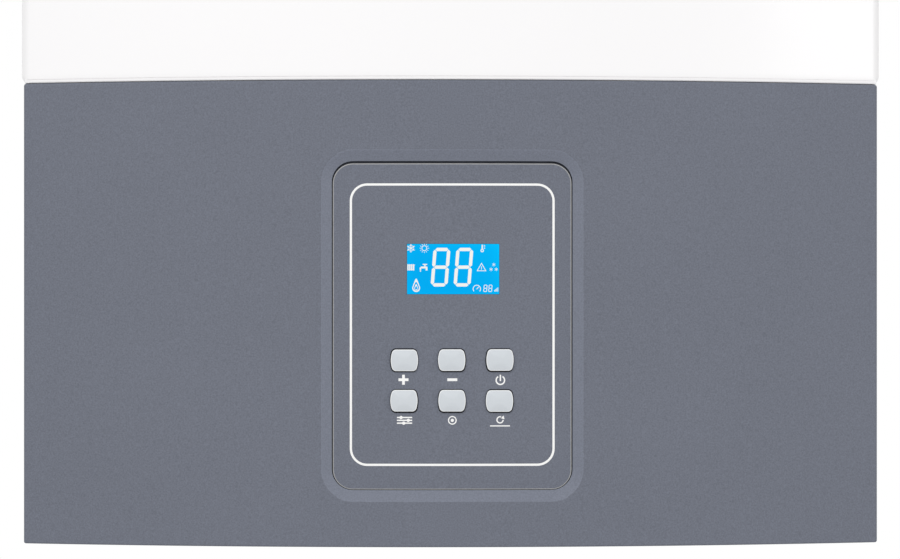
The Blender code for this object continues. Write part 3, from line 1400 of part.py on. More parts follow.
def make_return_manifold():
    block = make_manifold("return_manifold", 1)
    start = at(VALVE_X, MANIFOLD_FRONT - OVERRUN, VALVE_Z)
    end = at(VALVE_X, MANIFOLD_FRONT + VALVE_REACH, VALVE_Z)
    join(block, rod("safety_valve_body", start, end, VALVE_RADIUS, 16))
    boss_radius = 0.009
    boss_top = at(TAP_X, UNION_DEPTH, MANIFOLD_BASE + SHEET)
    join(block, rod("tap_boss", at(TAP_X, UNION_DEPTH, MANIFOLD_BASE - FOLD), boss_top, boss_radius))
    mouth = at(TAP_X, UNION_DEPTH, MANIFOLD_BASE - FOLD - OVERRUN)
    tap_bore = TAP_STEM_RADIUS + SEAT_GAP
    cut(block, rod("tap_bore", mouth, at(TAP_X, UNION_DEPTH, TAP_BORE_TOP), tap_bore, 16))
    stem_bore = SHAFT_RADIUS + SEAT_GAP
    start = at(VALVE_X, MANIFOLD_FRONT + VALVE_REACH - 2 * FOLD, VALVE_Z)
    cut(block, rod("valve_bore", start, end + at(0, OVERRUN, 0), stem_bore, 12))
    return dress(block, "brass")


TAP_BORE_DEPTH = 0.012
TAP_BORE_TOP = MANIFOLD_BASE + TAP_BORE_DEPTH


def make_filling_tap_knob():
    """The lobed knob of the filling tap, under the plate, on a stem that reaches up into the manifold."""
    lobes = 5
    radius = 0.0115
    lobe = 0.0035
    top = BASE_Z + BASE_RISE - PANEL_JOINT
    base = BASE_Z - UNION_DROP
    low = at(TAP_X, UNION_DEPTH, base)
    knob = rod("filling_tap_knob", low, at(TAP_X, UNION_DEPTH, top), radius - lobe / 2, 20)
    for i in range(lobes):
        angle = 2 * math.pi * i / lobes
        x = TAP_X + (radius - lobe) * math.cos(angle)
        depth = UNION_DEPTH + (radius - lobe) * math.sin(angle)
        join(knob, rod(f"tap_lobe_{i}", at(x, depth, base), at(x, depth, top), lobe, 8))
    stem_top = at(TAP_X, UNION_DEPTH, TAP_BORE_TOP - SHEET)
    join(knob, rod("tap_stem", at(TAP_X, UNION_DEPTH, top - SHEET), stem_top, TAP_STEM_RADIUS))
    return dress(move_origin(knob, low), "knob_blue")


def make_safety_valve_knob():
    lobes = 6
    radius = 0.0135
    lobe = 0.0035
    thick = 0.014
    back = MANIFOLD_FRONT + VALVE_REACH + SEAT_GAP
    front = back + thick
    seat = at(VALVE_X, back, VALVE_Z)
    knob = rod("safety_valve_knob", seat, at(VALVE_X, front, VALVE_Z), radius - lobe / 2, 20)
    for i in range(lobes):
        angle = 2 * math.pi * i / lobes
        x = VALVE_X + (radius - lobe) * math.cos(angle)
        z = VALVE_Z + (radius - lobe) * math.sin(angle)
        join(knob, rod(f"valve_lobe_{i}", at(x, back, z), at(x, front, z), lobe, 8))
    start = at(VALVE_X, back - 2 * FOLD + OVERRUN, VALVE_Z)
    join(knob, rod("valve_stem", start, at(VALVE_X, back + SHEET, VALVE_Z), SHAFT_RADIUS, 10))
    return dress(move_origin(knob, seat), "knob_red")


def make_plate_heat_exchanger():
    """Brazed plates in front of the two manifolds, their edges standing out as ribs."""
    plates = 7
    back = MANIFOLD_FRONT + SEAT_GAP
    plate_pitch = 0.0065
    thick = 0.004
    width = 0.166
    shift = 0.017
    rise = 0.002
    height = 0.058
    inset = 0.0015
    low = MANIFOLD_BASE + rise
    x_span = around(-shift, width)
    core = box(
        "plate_heat_exchanger", (x_span[0] + inset, x_span[1] - inset), (back, back + plates * plate_pitch),
        (low + inset, low + height - inset), inset * 6, "y", 2,
    )
    for i in range(plates):
        depth = back + (i + 0.5) * plate_pitch
        join(core, box(
            f"brazed_plate_{i}", x_span, around(depth, thick), (low, low + height), inset * 7, "y", 2,
        ))
    return dress(core, "steel")


def make_diverter_actuator():
    radius = 0.016
    height = 0.052
    place_share = 1.25
    x = -UNION_PITCH * place_share
    base = MANIFOLD_TOP + SEAT_GAP
    profile = (
        (0, height), (radius * 0.8, height), (radius, height * 0.94), (radius, height * 0.3),
        (radius * 0.7, height * 0.28), (radius * 0.7, height * 0.12), (radius * 0.85, height * 0.1),
        (radius * 0.85, 0), (0, 0),
    )
    actuator = turned("diverter_actuator", profile, at(x, UNION_DEPTH, base), steps=20)
    plug_z = around(base + height * 0.8, radius * 0.6)
    join(actuator, box("actuator_plug", around(x, radius), (UNION_DEPTH, UNION_DEPTH + radius * 1.3), plug_z))
    return dress(actuator, "black_plastic")


PUMP_OVERHANG = 0.005
PUMP_FRONT = MANIFOLD_FRONT + PUMP_OVERHANG
PUMP_WALL = 0.005
MOTOR_LENGTH = TRAY_BACK - LID_SHEET - MOTOR_ROOM - SEAT_GAP - PUMP_FRONT
NECK_SHIFT = 0.018
NECK_RADIUS = 0.012
NECK_X = PUMP_X + NECK_SHIFT
NECK_TOP = PUMP_Z + PUMP_RADIUS + NECK_RADIUS
VENT_SHIFT = 0.022
VENT_X = PUMP_X - VENT_SHIFT
IMPELLER_ROOM = 0.014
IMPELLER_GAP = 0.003


def make_pump_body():
    """The pump's cast body: a drum open towards its motor, a foot on the manifold and a discharge neck."""
    drum = rod("pump_body", at(PUMP_X, MANIFOLD_BACK, PUMP_Z), at(PUMP_X, PUMP_FRONT, PUMP_Z), PUMP_RADIUS, 28)
    foot_top = PUMP_Z - PUMP_RADIUS / 2
    foot_radius = 0.014
    boss_radius = 0.009
    foot_low = at(PUMP_X, UNION_DEPTH, MANIFOLD_TOP + SEAT_GAP)
    join(drum, rod("pump_foot", foot_low, at(PUMP_X, UNION_DEPTH, foot_top), foot_radius, 16))
    neck_low = at(NECK_X, UNION_DEPTH, PUMP_Z)
    join(drum, rod("pump_neck", neck_low, at(NECK_X, UNION_DEPTH, NECK_TOP), NECK_RADIUS, 16))
    boss_top = at(VENT_X, UNION_DEPTH, NECK_TOP - 2 * OVERRUN)
    join(drum, rod("vent_boss", at(VENT_X, UNION_DEPTH, PUMP_Z), boss_top, boss_radius))
    start = at(PUMP_X, PUMP_FRONT - IMPELLER_ROOM, PUMP_Z)
    end = at(PUMP_X, PUMP_FRONT + OVERRUN, PUMP_Z)
    cut(drum, rod("pump_hollow", start, end, PUMP_RADIUS - PUMP_WALL, 28))
    return dress(drum, "brass")


def make_pump_impeller():
    blades = 6
    radius = PUMP_RADIUS - PUMP_WALL - IMPELLER_GAP - SHEET
    disc = 0.003
    blade_share = 0.8
    place_share = 0.55
    back = PUMP_FRONT - IMPELLER_ROOM + IMPELLER_GAP
    front = PUMP_FRONT - IMPELLER_GAP
    wheel = rod("pump_impeller", at(PUMP_X, front - disc, PUMP_Z), at(PUMP_X, front, PUMP_Z), radius, 24)
    for i in range(blades):
        angle = 2 * math.pi * i / blades
        length = radius * blade_share
        form = cube_form((0, length), (back, front - disc / 2), (0, disc / 2))
        turn = Matrix.Rotation(angle, 4, "Y") @ Matrix.Translation((radius * place_share, 0, 0))
        bmesh.ops.transform(form, matrix=turn, verts=form.verts)
        middle = at(PUMP_X, (back + front - disc / 2) / 2, PUMP_Z)
        join(wheel, object_from(f"impeller_blade_{i}", form, middle))
    shaft_end = at(PUMP_X, PUMP_FRONT + MOTOR_SEAT, PUMP_Z)
    join(wheel, rod("impeller_shaft", at(PUMP_X, front - disc / 2, PUMP_Z), shaft_end, SHAFT_RADIUS))
    return dress(move_origin(wheel, at(PUMP_X, front, PUMP_Z)), "grey_plastic")


def make_pump_motor():
    radius = 0.038
    flange = PUMP_RADIUS
    bore = SHAFT_RADIUS + SEAT_GAP
    roof = MOTOR_SEAT + 2 * SHEET
    front = MOTOR_LENGTH
    place_share = 0.55
    box_share = 0.5
    profile = (
        (0, front), (radius * 0.85, front), (radius, front * 0.94), (radius, front * 0.1),
        (flange, front * 0.1), (flange, 0), (bore, 0), (bore, roof), (0, roof),
    )
    place = at(PUMP_X, PUMP_FRONT + SEAT_GAP, PUMP_Z)
    motor = turned("pump_motor", profile, place, (0, -1, 0), 28)
    depth_span = around(PUMP_FRONT + front * place_share, box_share * front)
    x_span = (PUMP_X - radius - FOLD, PUMP_X)
    join(motor, box("motor_terminals", x_span, depth_span, around(PUMP_Z, radius), CAST_EDGE, "y", 1))
    return dress(motor, "grey_plastic")


def make_air_vent():
    radius = 0.0085
    height = 0.028
    base = NECK_TOP - 2 * OVERRUN + SEAT_GAP
    profile = (
        (0, height), (radius * 0.4, height), (radius * 0.45, height * 0.85), (radius, height * 0.8),
        (radius, height * 0.2), (radius * 0.6, height * 0.15), (radius * 0.6, 0), (0, 0),
    )
    return dress(turned("air_vent", profile, at(VENT_X, UNION_DEPTH, base), steps=16), "brass")


# Gas side

GAS_VALVE_HALF = 0.026
GAS_VALVE_HEIGHT = 0.1147
GAS_VALVE_TOP = MANIFOLD_BASE + GAS_VALVE_HEIGHT


def make_gas_valve():
    """The gas valve over its connection: a cast block with two coils and the modulator."""
    base = MANIFOLD_BASE
    x_span = (-GAS_VALVE_HALF, GAS_VALVE_HALF)
    neck_radius = 0.011
    coil_drop = 0.020
    z_span = (base, GAS_VALVE_TOP)
    block = box("gas_valve", x_span, (MANIFOLD_BACK, MANIFOLD_FRONT), z_span, CAST_EDGE, "xyz", 1)
    join(block, connection("gas_stub", 0, WATER_UNION_RADIUS, base + SHEET))
    neck_top = at(0, UNION_DEPTH, GAS_VALVE_TOP + FOLD)
    join(block, rod("gas_neck", at(0, UNION_DEPTH, GAS_VALVE_TOP - SHEET), neck_top, neck_radius, 16))
    coil_z = GAS_VALVE_TOP - coil_drop
    coil = 0.011
    reach = 0.034
    for side in (-1, 1):
        x = side * GAS_VALVE_HALF / 2
        start = at(x, MANIFOLD_FRONT - SHEET, coil_z)
        join(block, rod(f"coil_{side}", start, at(x, MANIFOLD_FRONT + reach, coil_z), coil, 14))
    bore_connection(block, "gas_bore", 0, WATER_UNION_RADIUS)
    return dress(block, "aluminium")


def make_gas_pipe():
    start = at(0, UNION_DEPTH, GAS_VALVE_TOP + FOLD + SEAT_GAP)
    run = [
        start, at(0, UNION_DEPTH, CROSS_Z), at(0, GAS_PIPE_DEPTH, CROSS_Z),
        at(0, GAS_PIPE_DEPTH, GAS_RAIL_Z - MANIFOLD_TUBE - SEAT_GAP),
    ]
    return dress(swept("gas_pipe", run, GAS_PIPE_RADIUS, PIPE_BEND), "aluminium")


def make_flow_pipe():
    x = -2 * UNION_PITCH
    low = CROSS_Z - PIPE_BEND
    run = [
        at(x, UNION_DEPTH, MANIFOLD_TOP + SEAT_GAP), at(x, UNION_DEPTH, low), at(-PIPE_X, PIPE_DEPTH, low),
        at(-PIPE_X, PIPE_DEPTH, EXCHANGER_PORT_Z), at(-PORT_END - SEAT_GAP, PIPE_DEPTH, EXCHANGER_PORT_Z),
    ]
    return dress(swept("flow_pipe", run, PIPE_RADIUS, PIPE_BEND * BEND_SHARE), "copper")


def make_return_pipe():
    run = [
        at(NECK_X, UNION_DEPTH, NECK_TOP + SEAT_GAP), at(NECK_X, UNION_DEPTH, CROSS_Z),
        at(PIPE_X, PIPE_DEPTH, CROSS_Z),
        at(PIPE_X, PIPE_DEPTH, EXCHANGER_PORT_Z), at(PORT_END + SEAT_GAP, PIPE_DEPTH, EXCHANGER_PORT_Z),
    ]
    return dress(swept("return_pipe", run, PIPE_RADIUS, PIPE_BEND * BEND_SHARE), "copper")


def make_cable_gland():
    bore = 0.004
    nut_margin = 0.004
    nut = GLAND_RADIUS + nut_margin
    plate_low = BASE_Z + BASE_RISE
    below = plate_low - SEAT_GAP
    above = plate_low + SHEET + SEAT_GAP
    low = BASE_Z - UNION_DROP / 2
    high = above + FOLD
    profile = (
        (GLAND_RADIUS, high), (GLAND_RADIUS, below), (nut, below), (nut, low + SHEET), (nut - SHEET, low),
        (bore, low), (bore, high),
    )
    return dress(turned("cable_gland", profile, at(GLAND_X, GLAND_DEPTH, 0), steps=20), "black_plastic")


def hang_on_hinge(pieces):
    """Gives the moving control box an empty on its hinge axis, which carries its pieces."""
    hinge = bpy.data.objects.new("control_box_hinge", None)
    hinge.location = at(0, HINGE_DEPTH, HINGE_Z)
    BOILER.objects.link(hinge)
    for piece in pieces:
        piece.parent = hinge
        piece.matrix_parent_inverse = Matrix.Translation(-hinge.location)


def build():
    make_wall_bracket()
    make_rear_frame()
    make_side_panel("left_side_panel", -1)
    make_side_panel("right_side_panel", 1)
    make_top_panel()
    make_bottom_plate()
    make_front_cover()
    make_hinge_pin("left_hinge_pin", -1)
    make_hinge_pin("right_hinge_pin", 1)
    box_pieces = [
        make_control_fascia(), make_control_panel(), make_display_lens(), make_display_board(),
        make_control_box_tray(), make_control_box_lid(), make_main_board(),
    ]
    box_pieces += [make_button(*place) for place in button_grid()]
    hang_on_hinge(box_pieces)
    make_chamber_shell()
    make_chamber_seal()
    make_chamber_cover()
    make_sight_glass()
    make_combustion_box()
    make_fire_insulation()
    make_electrode("ignition_electrode", -ELECTRODE_X)
    make_electrode("flame_sensor", ELECTRODE_X)
    make_burner()
    make_burner_manifold()
    make_heat_exchanger()
    make_flue_hood()
    make_fan_housing()
    make_fan_wheel()
    make_fan_motor()
    make_flue_elbow()
    make_flue_inner_pipe()
    make_flue_collar()
    make_air_pressure_switch()
    make_expansion_vessel()
    make_vessel_hose()
    make_flow_manifold()
    make_return_manifold()
    make_filling_tap_knob()
    make_safety_valve_knob()
    make_plate_heat_exchanger()
    make_diverter_actuator()
    make_pump_body()
    make_pump_impeller()
    make_pump_motor()
    make_air_vent()
    make_gas_valve()
    make_gas_pipe()
    make_flow_pipe()
    make_return_pipe()
    make_cable_gland()


build()
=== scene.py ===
# %% [markdown]
# # A wall-hung gas boiler, dressed for its portrait
#
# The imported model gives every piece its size, its place and its motion. This script gives the pieces their
# looks: fine front shells and buttons, printed marks, a lit display, and a finish for every metal and
# plastic. It reads like a workshop notebook. Each step says what the piece is on a real boiler, and then
# makes it.

# %% The frame
import json
import math
from contextlib import contextmanager

import bpy
from mathutils import Matrix, Vector


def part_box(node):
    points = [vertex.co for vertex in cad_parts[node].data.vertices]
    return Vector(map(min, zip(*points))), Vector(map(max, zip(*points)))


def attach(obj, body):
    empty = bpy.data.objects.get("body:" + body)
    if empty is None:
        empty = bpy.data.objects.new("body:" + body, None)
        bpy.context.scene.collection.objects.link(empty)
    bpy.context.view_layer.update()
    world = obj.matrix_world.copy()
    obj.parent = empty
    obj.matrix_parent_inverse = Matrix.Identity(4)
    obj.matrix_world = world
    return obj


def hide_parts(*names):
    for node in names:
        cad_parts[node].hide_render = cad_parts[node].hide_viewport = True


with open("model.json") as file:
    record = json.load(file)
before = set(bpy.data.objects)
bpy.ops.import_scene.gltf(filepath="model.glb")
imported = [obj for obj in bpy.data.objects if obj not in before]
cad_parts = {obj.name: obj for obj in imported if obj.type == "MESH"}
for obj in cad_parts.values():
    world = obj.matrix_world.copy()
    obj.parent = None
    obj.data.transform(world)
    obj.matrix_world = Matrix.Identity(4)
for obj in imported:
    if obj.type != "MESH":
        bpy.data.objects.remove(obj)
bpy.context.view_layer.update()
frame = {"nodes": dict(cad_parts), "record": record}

MM = 0.001
CLEARANCE = 0.3 * MM

# %% [markdown]
# ## Working as by hand
#
# Blender's operators act on whatever is selected, so every helper first deselects everything. `editing`
# opens edit mode with only the chosen vertices, edges or faces selected, and leaves it again afterwards. A
# test gets the middle of each one and its direction, which is how a script points at an edge without a
# mouse.

# %% Selecting and editing
def select_only(*pieces):
    bpy.ops.object.select_all(action="DESELECT")
    for piece in pieces:
        piece.select_set(True)
    bpy.context.view_layer.objects.active = pieces[0]


def everything(place, way):
    return True


def looks(x, y, z):
    """A test for faces that look along a direction."""
    return lambda place, way: way.dot(Vector((x, y, z))) > 0.99


@contextmanager
def editing(piece, kind="FACE", test=everything):
    select_only(piece)
    mesh = piece.data
    for group in (mesh.vertices, mesh.edges, mesh.polygons):
        group.foreach_set("select", [False] * len(group))
    bpy.context.tool_settings.mesh_select_mode = [kind == name for name in ("VERT", "EDGE", "FACE")]
    if kind == "FACE":
        for face in mesh.polygons:
            face.select = test(face.center, face.normal)
    elif kind == "EDGE":
        for edge in mesh.edges:
            first, last = (mesh.vertices[i].co for i in edge.vertices)
            edge.select = test((first + last) / 2, (last - first).normalized())
    else:
        for vertex in mesh.vertices:
            vertex.select = test(vertex.co, vertex.normal)
    bpy.ops.object.mode_set(mode="EDIT")
    yield
    bpy.ops.object.mode_set(mode="OBJECT")


print("editing ready")

# %% Adding, copying and joining
def added(name, add, scale=(1, 1, 1), **settings):
    """Adds a primitive, names it, and moves its place into its mesh."""
    bpy.ops.object.select_all(action="DESELECT")
    add(**settings)
    piece = bpy.context.object
    piece.scale = scale
    piece.name = name
    piece.data.name = name
    bpy.ops.object.transform_apply(location=True, rotation=True, scale=True)
    return piece


def block(name, low, high):
    low, high = Vector(low), Vector(high)
    return added(name, bpy.ops.mesh.primitive_cube_add, high - low, size=1, location=(low + high) / 2)


def twin(piece, name):
    """A copy with a mesh of its own."""
    other = piece.copy()
    other.data = piece.data.copy()
    other.name = name
    bpy.context.collection.objects.link(other)
    return other


def apply(piece, kind, **settings):
    """Adds a modifier, sets it and applies it."""
    select_only(piece)
    change = piece.modifiers.new(kind.title(), kind)
    for name, value in settings.items():
        setattr(change, name, value)
    bpy.ops.object.modifier_apply(modifier=change.name)


def cut_away(piece, tool, operation="DIFFERENCE"):
    """Cuts a closed shape out of a piece, and removes the shape."""
    apply(piece, "BOOLEAN", object=tool, operation=operation)
    bpy.data.objects.remove(tool)


def weld_on(piece, tool):
    cut_away(piece, tool, "UNION")


def join_up(name, pieces):
    """Joins pieces into the first one, as they are."""
    select_only(*pieces)
    bpy.ops.object.join()
    pieces[0].name = name
    pieces[0].data.name = name
    return pieces[0]


print("adding and joining ready")

# %% Shaping steps
def round_off(piece, test, width, segments):
    """Bevels the edges that pass a test."""
    with editing(piece, "EDGE", test):
        bpy.ops.mesh.bevel(offset=width, segments=segments, affect="EDGES")


def extrude(*by):
    bpy.ops.mesh.extrude_region_move(TRANSFORM_OT_translate={"value": by})


def step_to(scale, push=(0, 0, 0)):
    """Extrudes in place, then scales about the origin and moves: one step of a stepped face."""
    bpy.ops.mesh.extrude_region_move()
    bpy.ops.transform.resize(value=scale, center_override=(0, 0, 0))
    bpy.ops.transform.translate(value=push)


def slice_at(place, way):
    """Cuts all of a mesh through along a plane."""
    bpy.ops.mesh.select_all(action="SELECT")
    bpy.ops.mesh.bisect(plane_co=place, plane_no=way)


def merge_doubles(threshold=0.001 * MM):
    bpy.ops.mesh.select_all(action="SELECT")
    bpy.ops.mesh.remove_doubles(threshold=threshold)


def point_outwards():
    bpy.ops.mesh.select_all(action="SELECT")
    bpy.ops.mesh.normals_make_consistent(inside=False)


def smooth(piece, degrees=35, weighted=True):
    select_only(piece)
    bpy.ops.object.shade_smooth_by_angle(angle=math.radians(degrees))
    if weighted:
        apply(piece, "WEIGHTED_NORMAL", keep_sharp=True)
    return piece


def middle_of(node):
    low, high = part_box(node)
    return (low + high) / 2


print("shaping ready")

# %% [markdown]
# ## The bowed front
#
# The whole front is pressed to one shallow arc, so the cover, the fascia and the panel flow into each
# other. Each piece is made flat and cut into narrow strips, and a lattice then pushes the strips out to the
# arc. The same lattice serves every piece, so they cannot disagree. A second lattice leaves the rear edges
# straight.

# %% The arc and its lattices
cover_low, cover_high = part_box("front_cover")
fascia_low, fascia_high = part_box("control_fascia")
HALF_WIDTH = cover_high.x
FRONT_BOW = 26 * MM
EDGE_DEPTH = -cover_low.y - FRONT_BOW
RETURN_DEPTH = -cover_high.y
STRIP = 6.25 * MM


def bow(x):
    """How far the arc stands out at x."""
    radius = (HALF_WIDTH**2 + FRONT_BOW**2) / (2 * FRONT_BOW)
    return math.sqrt(radius**2 - min(abs(x), HALF_WIDTH) ** 2) - (radius - FRONT_BOW)


def bow_cage(name, rear_stays):
    bpy.ops.object.select_all(action="DESELECT")
    bpy.ops.object.add(type="LATTICE", location=(0, -(EDGE_DEPTH + RETURN_DEPTH) / 2, 0))
    cage = bpy.context.object
    cage.name = name
    deep = EDGE_DEPTH - RETURN_DEPTH
    cage.scale = (2 * HALF_WIDTH, deep, 1)
    cage.data.points_u = round(2 * HALF_WIDTH / STRIP) + 1
    cage.data.points_v = 3
    cage.data.points_w = 1
    cage.data.interpolation_type_u = "KEY_LINEAR"
    cage.data.interpolation_type_v = "KEY_LINEAR"
    for point in cage.data.points:
        if not (rear_stays and point.co.y > 0.25):
            point.co_deform.y -= bow(point.co.x * 2 * HALF_WIDTH) / deep
    bpy.context.view_layer.update()
    return cage


FACE_CAGE = bow_cage("face_cage", rear_stays=False)
SHELL_CAGE = bow_cage("shell_cage", rear_stays=True)


def bend_to(piece, cage):
    """Cuts a flat piece into strips, so that it can bend, and bends it."""
    with editing(piece):
        for i in range(1, round(2 * HALF_WIDTH / STRIP)):
            slice_at((i * STRIP - HALF_WIDTH, 0, 0), (1, 0, 0))
    apply(piece, "LATTICE", object=cage)
    return piece


print("edge depth", round(EDGE_DEPTH, 4), "bow at a quarter", round(bow(HALF_WIDTH / 2), 4))

# %% [markdown]
# ## Shader maths that reads like maths
#
# A finish is a small program of nodes. `Wire` wraps a node's output, so that `grain * 0.5 + 0.2` adds the
# Math nodes for it. `Nodes.node` makes any other node: its settings first, and then what goes into its
# sockets.

# %% Wires and finishes
class Wire:
    def __init__(self, nodes, socket):
        self.nodes = nodes
        self.socket = socket

    def output(self, name):
        """Another output of the same node."""
        return Wire(self.nodes, self.socket.node.outputs[name])

    def maths(self, operation, first, last):
        return self.nodes.node("ShaderNodeMath", {"operation": operation}, {0: first, 1: last})

    def __add__(self, other):
        return self.maths("ADD", self, other)

    def __sub__(self, other):
        return self.maths("SUBTRACT", self, other)

    def __rsub__(self, other):
        return self.maths("SUBTRACT", other, self)

    def __mul__(self, other):
        return self.maths("MULTIPLY", self, other)

    def __truediv__(self, other):
        return self.maths("DIVIDE", self, other)

    def __pow__(self, other):
        return self.maths("POWER", self, other)

    __radd__ = __add__
    __rmul__ = __mul__


class Nodes:
    def __init__(self, tree):
        self.tree = tree

    def node(self, kind, settings=None, sockets=None, output=0):
        made = self.tree.nodes.new(kind)
        for name, value in (settings or {}).items():
            setattr(made, name, value)
        for name, value in (sockets or {}).items():
            self.plug(made.inputs[name], value)
        return Wire(self, made.outputs[output])

    def plug(self, socket, value):
        if isinstance(value, Wire):
            self.tree.links.new(value.socket, socket)
        else:
            socket.default_value = value


class Finish(Nodes):
    def __init__(self, name):
        self.material = bpy.data.materials.new(name)
        self.material.use_nodes = True
        super().__init__(self.material.node_tree)
        self.shader = self.tree.nodes["Principled BSDF"]
        self.place = self.node("ShaderNodeTexCoord", output="Object")

    def set(self, **sockets):
        """Sets the shader's sockets: Base_Color stands for Base Color."""
        for name, value in sockets.items():
            self.plug(self.shader.inputs[name.replace("_", " ")], value)

    def stretched(self, scale):
        return self.node("ShaderNodeMapping", {}, {"Vector": self.place, "Scale": scale})

    def noise(self, scale, detail=2, place=None, roughness=0.5):
        sockets = {"Vector": place or self.place, "Scale": scale, "Detail": detail, "Roughness": roughness}
        return self.node("ShaderNodeTexNoise", {}, sockets)

    def blend(self, factor, first, last):
        """Mixes two colours."""
        return self.node("ShaderNodeMix", {"data_type": "RGBA"}, {0: factor, 6: first, 7: last}, output=2)

    def shades(self, factor, colour, spread):
        """A colour that varies evenly by the spread, darker where the factor is 0."""
        dark = tuple(part * (1 - spread) for part in colour) + (1,)
        light = tuple(min(part * (1 + spread), 1) for part in colour) + (1,)
        return self.blend(factor, dark, light)

    def between(self, value, low, high):
        """0 at low and 1 at high, clamped."""
        return self.node("ShaderNodeMapRange", {}, {"Value": value, "From Min": low, "From Max": high})

    def bump(self, height, distance, strength=1.0):
        return self.node("ShaderNodeBump", {}, {"Height": height, "Distance": distance, "Strength": strength})


print("shader helpers ready")

# %% [markdown]
# ## The fascia's finish
#
# The fascia is a moulding with a fine matt texture, which breaks the light up into a grey speckle. Two
# noises make it: one about a millimetre across for the texture, and a broad one for the faint clouding of
# the moulding. The sloping band round the panel has the same colour a shade lighter, with a slightly weaker
# speckle: the lighter shade is painted light, which stands in for the extra light that its slopes catch.

# %% Moulded grey
GREY = (0.150, 0.163, 0.202)
# how much lighter the band is painted, as painted light
BAND_PAINTED_LIGHT = 1.28
GRAIN_SCALE = 1500


def moulded_finish(name, colour, spread=0.165, roughness=0.62, grain=0.05 * MM, scale=GRAIN_SCALE):
    finish = Finish(name)
    fine = finish.noise(scale, 2)
    clouds = finish.noise(18, 3)
    factor = fine * 0.9 + clouds * 0.1
    finish.set(Base_Color=finish.shades(finish.between(factor, 0.3, 0.7), colour, spread))
    finish.set(Roughness=finish.between(fine, 0, 1) * 0.12 + (roughness - 0.06))
    finish.set(Normal=finish.bump(fine, grain, 0.5), Specular_IOR_Level=0.35)
    return finish.material


FASCIA_GREY = moulded_finish("fascia_grey", GREY)
# the band's lighter grey is painted light, standing in for the light its slopes catch
PAINTED_LIGHT_BAND_GREY = moulded_finish("band_grey_painted_light", tuple(part * BAND_PAINTED_LIGHT for part in GREY), spread=0.13)
print("greys:", FASCIA_GREY.name, PAINTED_LIGHT_BAND_GREY.name)

# %% [markdown]
# ## White stove enamel
#
# The cover and the casing are sheet steel, sprayed white and baked. The coat is glossy with a faint orange
# peel, which bends reflections but is too shallow to shade. A thin clear coat gives the deep, even
# highlight.

# %% Enamel
WHITE = (0.985, 0.975, 0.98)


def enamel_finish(name, colour, roughness=0.32):
    finish = Finish(name)
    peel = finish.noise(420, 2)
    drift = finish.noise(9, 2)
    finish.set(Base_Color=finish.shades(drift, colour, 0.008), Roughness=peel * 0.08 + (roughness - 0.04))
    finish.set(Normal=finish.bump(peel, 0.02 * MM, 0.25), Coat_Weight=0.25, Coat_Roughness=0.12)
    return finish.material


WHITE_ENAMEL = enamel_finish("white_enamel", WHITE)


def hand_over(piece, finish, body, slot, *nodes):
    """Gives a finished piece its material and its body, and the nodes that it stands for; the slot is not
    used.
    """
    piece.data.materials.clear()
    piece.data.materials.append(finish)
    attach(piece, body)
    if nodes:
        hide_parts(*nodes)
    return piece


def paint(piece, choose, *finishes):
    """Adds finishes to a piece, and gives each face the one that its place and direction choose."""
    for finish in finishes:
        piece.data.materials.append(finish)
    for face in piece.data.polygons:
        face.material_index = int(choose(face.center, face.normal))


print("enamel:", WHITE_ENAMEL.name)

# %% [markdown]
# ## The front cover
#
# The cover is one pressed sheet with soft sides, open at the back, and its lower edge is folded into a hem.
# A block gets its rounded edges by bevels, and a smaller block is cut out of it, which leaves the sheet.
# Bevelling the solid is simpler than bevelling a shell, because each edge is still one clean line. A
# hair-fine groove marks the fold of the hem, which reaches down almost to the fascia. The sheet stands a
# little wider than the fascia, and its lower corners draw in to meet it.

# %% Front cover
COVER_ROLL = 4 * MM
COVER_SHEET = 1 * MM
COVER_OVERHANG = 1.3 * MM
COVER_HALF = HALF_WIDTH + COVER_OVERHANG
COVER_LIP_DEPTH = EDGE_DEPTH - 12 * MM
HEM_ROLL = 0.7 * MM
HEM_DROP = 0.6 * MM
HEM_HEIGHT = 0.8 * MM
HEM_LINE = 0.22 * MM
HEM_CURL = 3.2 * MM
HEM_CURL_BACK = 0.3 * MM
CURL_ROWS = 4
LIP_MARGIN = 4 * MM
NEAR = 0.1 * MM


def runs_back(place, way):
    return abs(way.y) > 0.99


def shell(name, half_width, z_low, z_high, wall, side_roll, lower_roll, upper_roll):
    """A tray that opens to the wall, before it is bowed: its front edges are rolled, the sides' first."""
    low = (-half_width, -EDGE_DEPTH, z_low)
    high = (half_width, -RETURN_DEPTH, z_high)
    tray = block(name, low, high)
    round_off(tray, lambda place, way: abs(way.z) > 0.99 and place.y < low[1] + MM, side_roll, 8)
    for z, roll in ((low[2], lower_roll), (high[2], upper_roll)):
        round_off(tray, lambda place, way: abs(place.z - z) < NEAR and place.y < high[1] - NEAR, roll, 5)
    inner_low = Vector(low) + wall * Vector((1, 1, 1))
    hollow = block("hollow", inner_low, Vector(high) + wall * Vector((-1, 1, -1)))
    if side_roll > wall:

        def at_corner(place, way):
            return abs(way.z) > 0.99 and place.y < inner_low.y + wall

        round_off(hollow, at_corner, side_roll - wall, 5)
    cut_away(tray, hollow)
    return tray


def cut_lip(piece, z, lip_depth):
    """Cuts an upper or lower wall back to its lip, between the side walls."""
    reach = HALF_WIDTH - 2 * LIP_MARGIN
    low = (-reach, -lip_depth, z - LIP_MARGIN)
    cut_away(piece, block("lip", low, (reach, -RETURN_DEPTH + LIP_MARGIN, z + LIP_MARGIN)))


